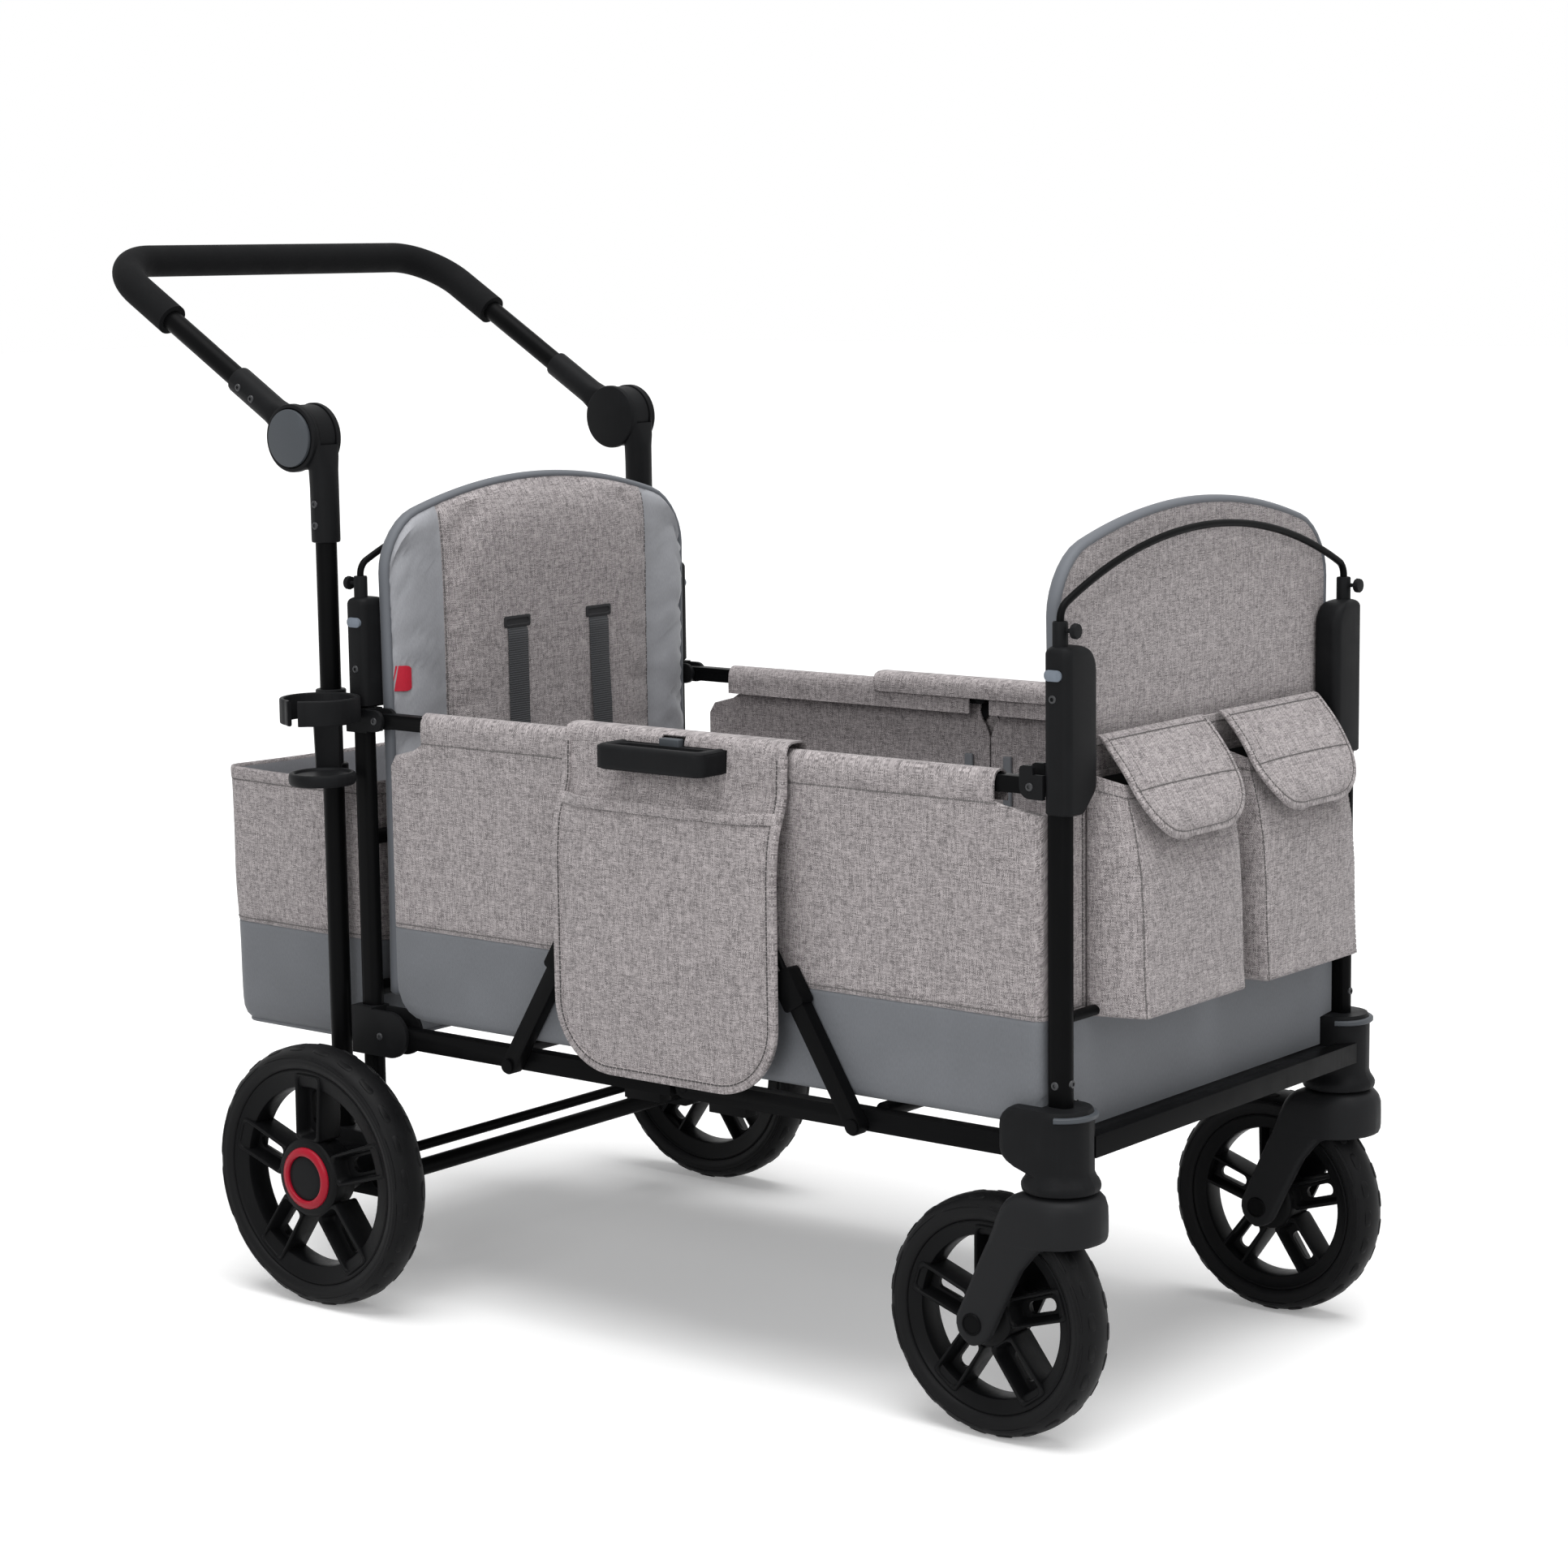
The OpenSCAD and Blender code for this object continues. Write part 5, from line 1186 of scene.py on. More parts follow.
class WAGON_OT_walls(Operator):
    """Hangs the tub's side walls from the top rails, in halves that meet at the middle"""

    bl_idname = "wagon.walls"
    bl_label = "Side Walls"

    def execute(self, context):
        def paint(i, j):
            out, z = WALL_ROWS[j]
            return int(z < BAND_Z and out > 240)

        for half, grid, ends in (("rear", self.rear_grid(), (10, 428)), ("front", self.front_grid(), (850, 432))):
            uv = planar_uv(grid, lambda p: (p.x, p.z + abs(p.y)))
            build, seams = Build(cloth_shell(grid, uv, 2.0 * MM, paint)), self.seams(grid)
            for hand, side in SIDES:
                move = same if side < 0 else mirror_y
                obj = raise_piece(f"{half}_wall_{hand}", build.moved(move), "heather band", 60)
                thread = stitches(f"{half}_wall_stitches_{hand}", [[move(p) for p in s] for s in seams])
                for part in (obj, thread):
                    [tuple(at(x, 0, 450)) for x in ends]
                    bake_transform(part)
                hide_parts(half + "_side_walls")
                declare_sheet(grid)
        return {"FINISHED"}

    def drape(self, x, z, u, seed):
        """How far the face lies inside its flat plane."""
        t = (z - WALL_FOOT) / (WALL_SEAM - WALL_FOOT)
        if not 0 < t < 1:
            return 0.0
        hold = math.sin(math.pi * t) ** 0.6 * min(1.0, u / 0.12, (1 - u) / 0.12)
        wide = 1.7 + 1.5 * ripple(x / 130, z / 170, seed)
        fine = 0.9 * ripple(x / 42 + z / 95, z / 60 - x / 120, seed + 5)
        puckers = 0.55 * math.sin(x / 11 + 3 * ripple(x / 60, 0, seed)) * math.exp(-(WALL_SEAM - z) / 26)
        return max(0.0, hold * (wide + fine) + puckers * min(1.0, u / 0.1))

    def rear_grid(self):
        grid = []
        for u in spread(46):
            column = []
            for out, z in WALL_ROWS:
                inner = out < 250 and z > 500
                x0 = 45 + 43 * (1.0 if inner else ease((z - 566) / 16)) + corner_drop(z - WALL_FOOT, 40)
                x = lerp(x0, CENTRE_X - 1.0 - self.middle_gap(z, inner), u)
                fold = 0.0 if inner else 2.6 * max(0.0, 1 - u / 0.03)
                column.append(at(x, -(out - self.drape(x, z, u, 1.0) - fold), z))
            grid.append(column)
        return grid

    def front_grid(self):
        """The front half, whose end turns round the corner onto the front panel."""
        grid, bend, inward, corner_x = [], 10.0, 10.5, 836.0
        for u in spread(52):
            column = []
            for out, z in WALL_ROWS:
                inner = out < 250 and z > 500
                full = bend * QUARTER + inward * ease((z - 314) / 10)
                reach = lerp(full, -40.0, 1.0 if inner else ease((z - 574) / 12))
                s = lerp(CENTRE_X + 1.0 + self.middle_gap(z, inner), corner_x + reach, u ** 0.9) - corner_x
                x, y = corner_x + s, out
                if s > 0 and not inner:
                    turn = min(s / bend, QUARTER)
                    x = corner_x + bend * math.sin(turn)
                    y = out - bend * (1 - math.cos(turn)) - max(0.0, s - bend * QUARTER)
                column.append(at(x, -(y - self.drape(x, z, 1 - u if u > 0.9 else u, 7.0)), z))
            grid.append(column)
        return grid

    def middle_gap(self, z, inner):
        """How far the hem stops before the middle, clear of the fold."""
        return 12.0 if inner else 12.0 * ease((z - 560) / 25)

    def seams(self, grid):
        lines = []
        for z in (BAND_Z + 4.5, 586.0):
            j = min((k for k, (out, _) in enumerate(WALL_ROWS[:-1]) if out >= 250),
                    key=lambda k: abs(WALL_ROWS[k][1] - z))
            v = j + (z - WALL_ROWS[j][1]) / (WALL_ROWS[j + 1][1] - WALL_ROWS[j][1])
            lines.append([grid_point(grid, u, v, 0.25 * MM) for u in spread(90, 0.4, len(grid) - 1.6)])
        return lines


FLAP_HALF, FLAP_FOOT, FLAP_OUT, FLAP_CORNER = 137, 286, 282.8, 70
FLAP_LOW = [FLAP_FOOT + d for d in (64, 54, 44, 35, 27, 20, 14, 9, 5, 2)]
# Rows of the back layer as (out, z), from inside the top rail over it and down
FLAP_ROWS = ([(232, 602), (231.9, 609), (232.8, 614.8), (235.4, 618.6), (240.5, 620.4), (248, 620.8),
              (255.5, 620.4), (260.4, 618.2), (262.7, 614.2), (263.3, 610.4), (263.9, 603), (264.3, 596),
              (264.7, 588.6), (264.9, 581), (265.3, 573), (266.5, 566), (268.7, 559), (271.9, 551.5),
              (275.4, 543.5), (278.6, 534), (280.6, 522), (281.8, 508)]
             + [(FLAP_OUT, z) for z in spread(11, 494.0, 364.0) + FLAP_LOW + [FLAP_FOOT + 0.3]])
FLAP_FACE = [(z, out) for out, z in reversed(FLAP_ROWS[8:])]
FLAP_HALF_COLUMNS = [-1, -0.985, -0.95, -0.9, -0.83, -0.75, -0.67, -0.58, -0.488, -0.4, -0.3, -0.2, -0.104, -0.04]
FLAP_COLUMNS = FLAP_HALF_COLUMNS + [0] + [-c for c in reversed(FLAP_HALF_COLUMNS)]
POCKET_HEIGHTS = [557, 556.2, 552, 547.4, 545.6, 543.6, 536, 526, 512] + spread(11, 498.0, 364.0) + FLAP_LOW
HANDLE_HALF, HANDLE_LOW, HANDLE_HIGH, NOTCH_HALF, NOTCH_HIGH = 66.9, 588.6, 610.4, 14.3, 618.2


def flap_half(z, inset=0.0):
    return FLAP_HALF - inset - corner_drop(z - FLAP_FOOT, FLAP_CORNER)


class WAGON_OT_flaps(Operator):
    """Sews the hanging side flaps: a back layer over the top rail, an outer pocket and a bound edge"""

    bl_idname = "wagon.flaps"
    bl_label = "Side Flaps"

    def execute(self, context):
        back = [[self.back_point(c, out, z) for out, z in FLAP_ROWS] for c in FLAP_COLUMNS]
        pocket = [[self.pocket_point(c, z) for z in POCKET_HEIGHTS] for c in FLAP_COLUMNS]
        edge = self.edge_path(4.3, 1.6)
        build = Build(cloth_shell(back, planar_uv(back, lambda p: (p.x, p.z)), 1.7 * MM, self.cut),
                      cloth_shell(pocket, planar_uv(pocket, lambda p: (p.x + 0.3, p.z)), 1.6 * MM))
        build.add(*sweep(edge, rounded_rect(3.4 * MM, 4.8 * MM, 1.2 * MM, 3), Vector((0, -1, 0))),
                  uv=[(run, 0.001 * q) for run in run_along(edge) for q in range(12)])
        # Both stitch lines of the flap use the dark seam thread, a painted shadow line along the inner edge of the
        # binding and under the pocket's hem
        hem = [grid_point(pocket, u, 4.0, -2.1 * MM) for u in spread(60, 0.8, len(FLAP_COLUMNS) - 1.8)]
        lines = [self.edge_path(7.6, 4.9, 604.0), hem]
        width, area = 2 * FLAP_HALF * MM, grid_area(back) + grid_area(pocket)
        for hand, side in SIDES:
            move = same if side < 0 else mirror_y
            obj = piece("side_flap_" + hand, build.moved(move), "heather", "fold_handle", "heather",
                        "side_flaps", sharp=60)
            stitches("side_flap_stitches_" + hand, [[move(p) for p in line] for line in lines], "fold_handle",
                     "seam", 0.0008)
        return {"FINISHED"}

    def cut(self, i, j):
        """Leaves out the cells where the fold handle and its button pass through."""
        x = abs(FLAP_COLUMNS[i] + FLAP_COLUMNS[i + 1]) / 2 * FLAP_HALF
        z = (FLAP_ROWS[j][1] + FLAP_ROWS[j + 1][1]) / 2
        top = HANDLE_HIGH if x >= NOTCH_HALF else NOTCH_HIGH
        return None if FLAP_ROWS[j][0] > 255 and x < HANDLE_HALF and HANDLE_LOW < z < top else 0

    def back_point(self, c, out, z):
        x = c * (flap_half(z) if z < 400 else FLAP_HALF)
        wave = 0.0
        if z < 585 and out > 255:
            wave = 0.7 * ripple(c * 2.2, z / 90, 3.0) + 1.3 * ease((z - 520) / 30) * ripple(c * 4.1, z / 26, 8.0)
            wave *= min(1.0, (1 - abs(c)) / 0.25, (586 - z) / 14)
            wave -= 2.6 * math.exp(-((abs(x) - 100.0) / 15.0) ** 2 - ((z - 573.0) / 9.0) ** 2)
        return at(CENTRE_X + x, -(out + wave), z)

    def pocket_point(self, c, z):
        edge = ease(min(1.0, (1 - abs(c)) / 0.35) * min(1.0, (z - FLAP_FOOT) / 90))
        belly = 3.2 * edge * (0.5 + 0.5 * math.sin(math.pi * min(1.0, (z - FLAP_FOOT) / 265.0)))
        folds = 0.9 * edge * ripple(c * 2.6 + z / 210, z / 75, 11.0)
        hem = 2.2 if z > 546 else (-0.3 if z > 545 else 0.0)
        stand = lerp(table_value(FLAP_FACE, z), FLAP_OUT, ease((1 - abs(c)) / 0.3)) + 1.9
        sag = 1.2 * (1 - c * c) * ease((z - 520) / 36)
        return at(CENTRE_X + c * flap_half(z, 2.0), -(stand + belly + folds + hem), z - sag)

    def edge_path(self, inset, lift, top=610.0):
        """Points round the flap's edge from the rear top, under its foot, to the front top."""
        bend_x, bend_z = FLAP_CORNER - FLAP_HALF, FLAP_FOOT + FLAP_CORNER
        half = [(inset - FLAP_HALF, z) for z in spread(36, top, bend_z)]
        half += arc(bend_x, bend_z, FLAP_CORNER - inset, math.pi, 3 * QUARTER, 16)[1:]
        return [at(CENTRE_X + x, -(table_value(FLAP_FACE, z) + lift), z) for x, z in both_halves(half)]


def swell(t, v):
    return math.sqrt(max(0.0, (1 - abs(t) ** 5) * (1 - abs(2 * v - 1) ** 7)))


class Cushion:
    """A filled cushion: a crowned face and a flat back joined round the rim, sewn down along two seams."""

    def __init__(self, name, ys, rows, seam, outline, place, depth, groove, cap, pick_uv, paint):
        self.ys, self.vs, self.seam = ys, spread(rows), seam
        n, m = len(ys), rows
        thick, crown = depth
        front, back = [], []
        for y in ys:
            sewn = 1 - groove * math.exp(-((abs(y) - seam) / 7.0) ** 2)
            for v in self.vs:
                across, along = outline(y, v)
                rise = (crown - thick) * swell(y / ys[-1], v) * sewn
                front.append(place(thick + rise, across, along))
                back.append(place(0.0, across, along))
        faces, slots = [], []
        for i in range(n - 1):
            for j in range(m - 1):
                a = i * m + j
                quad = [a, a + 1, a + m + 1, a + m]
                faces += [quad, [n * m + k for k in reversed(quad)]]
                slots += [paint((ys[i] + ys[i + 1]) / 2), 0]
        rim = [i * m for i in range(n)] + [(n - 1) * m + j for j in range(1, m)]
        rim += [i * m + m - 1 for i in range(n - 2, -1, -1)] + list(range(m - 2, 0, -1))
        for a, b in zip(rim, rim[1:] + rim[:1]):
            faces.append([a, b, n * m + b, n * m + a])
            slots.append(2)
        self.build = Build((front + back, faces, slots, [pick_uv(p) for p in front + back]))
        sewn = set(rim) | set(range(n * m, 2 * n * m)) | {i * m + j for i in self.seams() for j in range(m)}
        self.fill(name, sorted(sewn), cap)
        self.rim = [self.build.verts[k] for k in rim]
        self.face = [self.build.verts[i * m:(i + 1) * m] for i in range(n)]

    def seams(self):
        """Columns that lie on a seam."""
        return [i for i, y in enumerate(self.ys) if abs(abs(y) - self.seam) < 0.1]

    def fill(self, name, sewn, cap):
        """Swells the cushion with a short cloth simulation, holding its seams and limiting its movement."""
        frames, verts = 20, self.build.verts
        obj = raise_piece(name, self.build, sharp=60)
        if len(obj.data.vertices) != len(verts):
            raise RuntimeError(name + ": cushion has doubled points")
        obj.vertex_groups.new(name="sewn").add(sewn, 1.0, "REPLACE")
        mod = obj.modifiers.new("fill", "CLOTH")
        for key, value in (("quality", 6), ("mass", 0.25), ("tension_stiffness", 12), ("compression_stiffness", 12),
                           ("shear_stiffness", 4), ("bending_stiffness", 0.4), ("use_pressure", True),
                           ("uniform_pressure_force", 6.0), ("shrink_min", -0.035), ("vertex_group_mass", "sewn")):
            setattr(mod.settings, key, value)
        mod.settings.effector_weights.gravity = 0
        mod.collision_settings.use_collision = False
        mod.point_cache.frame_start = 1
        mod.point_cache.frame_end = frames
        scene = bpy.context.scene
        for number in range(1, frames + 1):
            scene.frame_set(number)
        filled = obj.evaluated_get(bpy.context.evaluated_depsgraph_get()).data.vertices
        for k, v in enumerate(filled):
            step = v.co - verts[k]
            if step.length > 1e-7:
                verts[k] = verts[k] + step * (cap * math.tanh(step.length / cap) / step.length)
        scene.frame_set(1)
        remove_template(obj)


def turned_round(across):
    """Half a turn about an upright axis, which takes a rear piece to the front."""
    return lambda p: Vector((across - p.x, -p.y, p.z))


SEAT_HALF, SEAT_FOOT, SEAT_APEX, SEAT_X, SEAT_SEAM = 230, 319, 838, 13.3, 161
SLOT_SHARE, TAG_Z = 0.70, 644
SLOT_ROWS = ((0, -1.5), (0, 0.9), (-1.2, 1.3), (-2.6, 1.3), (-3, 0.2))
# Place across the seat, lift off its face and half height of each column of the tag
TAG = ((-213, 1.1, 10), (-215, 1.5, 12.2), (-218.5, 1.7, 13), (-222, 1.6, 13), (-225.5, 1.3, 13),
       (-229.5, 0.2, 13))


def seat_top(y):
    """Height of the seat back's arched top edge."""
    return SEAT_APEX - 42.0 * (y / SEAT_HALF) ** 2 - corner_drop(SEAT_HALF - abs(y), 45.0)


class WAGON_OT_seat_backs(Operator):
    """Fills the two padded seat backs and adds piping, harness straps and a sewn tag"""

    bl_idname = "wagon.seat_backs"
    bl_label = "Seat Backs"

    def execute(self, context):
        side = [lerp(-SEAT_HALF, -SEAT_SEAM, 1 - math.cos(t)) for t in spread(10, 0.0, QUARTER)]
        ys = side + spread(33, -SEAT_SEAM, SEAT_SEAM)[1:-1] + [-y for y in reversed(side)]

        def outline(y, v):
            return y * (1 - 0.010 * (1 - (2 * v - 1) ** 2)), SEAT_FOOT + (seat_top(y) - SEAT_FOOT) * v

        seat = Cushion("seat_filling", ys, 56, SEAT_SEAM, outline, lambda d, y, z: at(SEAT_X + d, y, z),
                       (11.0, 25.0), 0.30, 11 * MM, lambda p: (p.y, p.z + p.x * 0.3),
                       lambda y: int(abs(y) > SEAT_SEAM))
        self.dress("rear", seat, same, Vector((1, 0, 0)))
        self.dress("front", seat, turned_round(2 * POST_X + (POST_GAP + 1.0) * MM), Vector((-1, 0, 0)))
        return {"FINISHED"}

    def dress(self, end, seat, move, ahead):
        body = end + "_end"
        obj = piece(end + "_seat_back_padded", seat.build.moved(move), "heather bolster piping", body, "heather",
                    end + "_seat_back", sharp=50)
        cord = [move(p - Vector((5.5 * MM, 0, 0)) + Vector((0, p.y, p.z - 0.58)).normalized() * 1.4 * MM)
                for p in seat.rim]
        section = [(6.8 * MM * c, 4.4 * MM * s) for c, s in circle(1.0, 14)]
        piece(end + "_seat_piping", Build(sweep(cord, section, ahead, closed=True)), "piping", body, "band", sharp=60)
        rows = len(seat.vs)
        lines = [[move(grid_point(seat.face, i - math.copysign(0.16, seat.ys[i]), v, 0.3 * MM))
                  for v in spread(110, 1.0, rows - 2.0)] for i in seat.seams()]
        stitches(end + "_seat_stitches", lines, body)
        self.harness(end, body, seat, move, ahead)
        if end == "rear":
            self.tag(body, seat)

    def harness(self, end, body, seat, move, ahead):
        """Two shoulder straps out of bound slots, down the back and into the seam with the pad."""
        straps, slots, rows = Build(), Build(), len(seat.vs)
        ring = rounded_rect(0.8 * MM, 15.0 * MM, 0.7 * MM, 3)
        for y in (-66.0, 62.0):
            u, points = index_in(seat.ys, y), []
            for k in spread(44):
                lift = 1.3 + 5.0 * math.sin(math.pi * k) ** 2 * (0.4 + 0.6 * math.sin(9 * k + y))
                lift = max(1.3, lift) if 0.02 < k < 0.98 else -2.0
                points.append(move(grid_point(seat.face, u, rows * lerp(SLOT_SHARE, 0.045, k), lift * MM)))
            straps.add(*sweep(points, ring, ahead), uv=[(b, run) for run in run_along(points) for _, b in ring])
            centre = grid_point(seat.face, u, rows * SLOT_SHARE)
            slots.add(*loft([[move(centre + Vector((lift, a, b + 3.0)) * MM)
                              for a, b in rounded_rect(20.0 + grow, 6.0 + grow, 2.5, 4)]
                             for grow, lift in SLOT_ROWS], caps=True))
        piece(end + "_harness_straps", straps, "strap", body, "band", sharp=50)
        piece(end + "_harness_slots", slots, "lining", body, "band", sharp=50)

    def tag(self, body, seat):
        """A plain red tag sewn into the seam of the piping."""
        v = (TAG_Z - SEAT_FOOT) / (seat_top(8.0 - SEAT_HALF) - SEAT_FOOT) * (len(seat.vs) - 1)
        grid = []
        for y, lift, half in TAG:
            p = grid_point(seat.face, index_in(seat.ys, y), v, lift * MM)
            grid.append([Vector((p.x, p.y, (TAG_Z + b * half) * MM)) for b in spread(8, -1.0, 1.0)])
        shell = cloth_shell(grid, planar_uv(grid, lambda p: (p.y + p.x, p.z)), 0.9 * MM, side=-1.0)
        piece("sewn_tag", Build(shell), "tag", body, "accent", sharp=60)


PAD_HALF, PAD_LENGTH, PAD_START, PAD_FOOT, PAD_SEAM = 222, 210, 51.3, 300.3, 74
APRON = ((38, 330), (42, 322), (44.6, 312), (47, 304), (51, 299.6), (58, 298.2), (70, 298),
         (88, 298))


class WAGON_OT_seat_pads(Operator):
    """Fills the two seat pads that lie on the floor boards, and lays the cloth between them"""

    bl_idname = "wagon.seat_pads"
    bl_label = "Seat Pads"

    def execute(self, context):
        ys = sorted(set(spread(17, -PAD_HALF, -PAD_SEAM) + spread(15, -PAD_SEAM, PAD_SEAM)
                        + spread(17, PAD_SEAM, PAD_HALF)))

        def outline(y, v):
            bow = 2.5 * (1 - (y / PAD_HALF) ** 2) * (1 - 2 * v)
            return y * (1 - 0.014 * (1 - (2 * v - 1) ** 2)), PAD_START + PAD_LENGTH * v + bow

        pad = Cushion("pad_filling", ys, 30, PAD_SEAM, outline, lambda d, y, x: at(x, y, PAD_FOOT + d),
                      (18.0, 35.0), 0.35, 9 * MM, lambda p: (p.y, p.x + p.z * 0.3), lambda y: 0)
        for end, move in (("rear", same), ("front", turned_round(2 * POST_X + POST_GAP * MM))):
            self.lay(end, pad, move)
        strip = [(x, 300.9) for x in spread(25, CENTRE_X - 36.0, CENTRE_X + 36.0)]
        self.floor_cloth("floor_hinge_cloth", strip, same, None, "rear_floor_board")
        return {"FINISHED"}

    def lay(self, end, pad, move):
        body, middle = end + "_end", at(PAD_START + PAD_LENGTH / 2, 0, 0).x
        obj = raise_piece(end + "_seat_pad_padded", pad.build.moved(move), "heather bolster bolster", 50)
        trim = Build()
        for drop in (0.0, -15.0):
            loop = [move(p + UP * (drop * MM) + Vector((p.x - middle, p.y, 0)).normalized() * 1.2 * MM)
                    for p in pad.rim]
            trim.add(*sweep(loop, circle(2.3 * MM, 8), closed=True))
        cord = raise_piece(end + "_seat_pad_piping", trim, "piping", 60)
        anchor = tuple(move(at(PAD_START, 0, PAD_FOOT)))
        for part, slot in ((obj, "heather"), (cord, "band")):
            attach(part, body)
            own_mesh(part)
        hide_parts(end + "_seat_pad")
        self.floor_cloth(end + "_floor_apron", APRON, move, body, end + "_seat_pad_padded")

    def floor_cloth(self, name, line, move, body, rests_on):
        """A strip of band cloth across the floor, on a body if one is given."""
        grid = [[move(at(x, y, z)) for x, z in line] for y in spread(25, -224.0, 224.0)]
        shell = cloth_shell(grid, planar_uv(grid, lambda p: (p.y, p.x - p.z)), 0.8 * MM)
        obj = raise_piece(name, Build(shell), "band", 60)
        if body:
            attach(obj, body)
        else:
            ends = (tuple(at(CENTRE_X + way * 30, 0, 300)) for way in (-1, 1))
            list(ends)
            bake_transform(obj)
        declare_sheet(grid)


def bag_rows(**kinds):
    """Rows of a bag as (inset, z, kind), from its foot up, over its mouth and down inside."""
    return [(inset, z, kind) for kind, rows in kinds.items() for inset, z in rows]


def sewn_bag(name, rows, shape, place, looks, paint, body, node):
    """A lofted bag; returns its rows of points."""
    loops = [[place(a, b, z, kind) for a, b in shape(inset)] for inset, z, kind in rows]
    m, last = len(loops[0]), (len(loops) - 1) * (len(loops[0]) + 1)
    rings = [loop + loop[:1] for loop in loops]
    verts, faces = loft(rings, closed_ring=False)
    faces += [list(reversed(range(m))), [last + k for k in range(m)]]
    slots = [paint(a, b) for a, b in zip(rows, rows[1:]) for _ in range(m)]
    slots += [paint(rows[0], rows[0]), paint(rows[-1], rows[-1])]
    uv = []
    for ring, (_, _, kind) in zip(rings, rows):
        flat = kind in ("foot", "floor")
        uv += [(p.x, p.y) if flat else (run, p.z) for p, run in zip(ring, run_along(ring))]
    piece(name, Build((verts, faces, slots, uv)), looks, body, "heather", node, sharp=55)
    return loops


def off_loop(loop, k, lift, flatten=1.0):
    """A point of a loop, moved away from the loop's middle."""
    centre, p = sum(loop, Vector()) / len(loop), loop[k % len(loop)]
    return p + Vector((p.x - centre.x, (p.y - centre.y) * flatten, 0)).normalized() * lift


BAG_X, BAG_HALF_X, BAG_HALF_Y = -119.3, 111, 225.5
BAG_FOOT, BAG_TOP, BAG_BAND = 252, 534, 366
BAG_ROWS = bag_rows(
    foot=[(108, BAG_FOOT + 0.5), (70, BAG_FOOT + 0.2), (36, BAG_FOOT), (24, BAG_FOOT)],
    wall=[(15, BAG_FOOT + 1.6), (8, BAG_FOOT + 5.6), (3, BAG_FOOT + 12), (0.6, BAG_FOOT + 20)]
    + [(0, z) for z in spread(8, BAG_FOOT + 30, BAG_BAND - 6)]
    + [(0.2, BAG_BAND - 1.2), (1.2, BAG_BAND), (0.1, BAG_BAND + 1.2)]
    + [(0, z) for z in spread(11, BAG_BAND + 12, BAG_TOP - 22)]
    + [(inset, BAG_TOP - d) for inset, d in ((0, 16), (0.5, 14), (-0.5, 12), (-0.6, 4), (-0.2, 1), (0.8, 0),
                                             (2, 0.8))],
    lining=[(2.6, BAG_TOP - 4), (2.8, BAG_TOP - 14)] + [(3, z) for z in spread(8, BAG_TOP - 40, BAG_FOOT + 34)]
    + [(6, BAG_FOOT + 14), (14, BAG_FOOT + 6)],
    floor=[(28, BAG_FOOT + 3), (70, BAG_FOOT + 2.6), (108, BAG_FOOT + 2.6)])
BAG_LOOP = ([(-11, 440), (-10.4, 462), (-9.6, 476)]
            + arc(0.0, 479.0, 9.4, math.pi * 0.98, -math.pi * 0.72, 14)
            + [(-8.6, 466), (-9.5, 452), (-10.2, 442)])


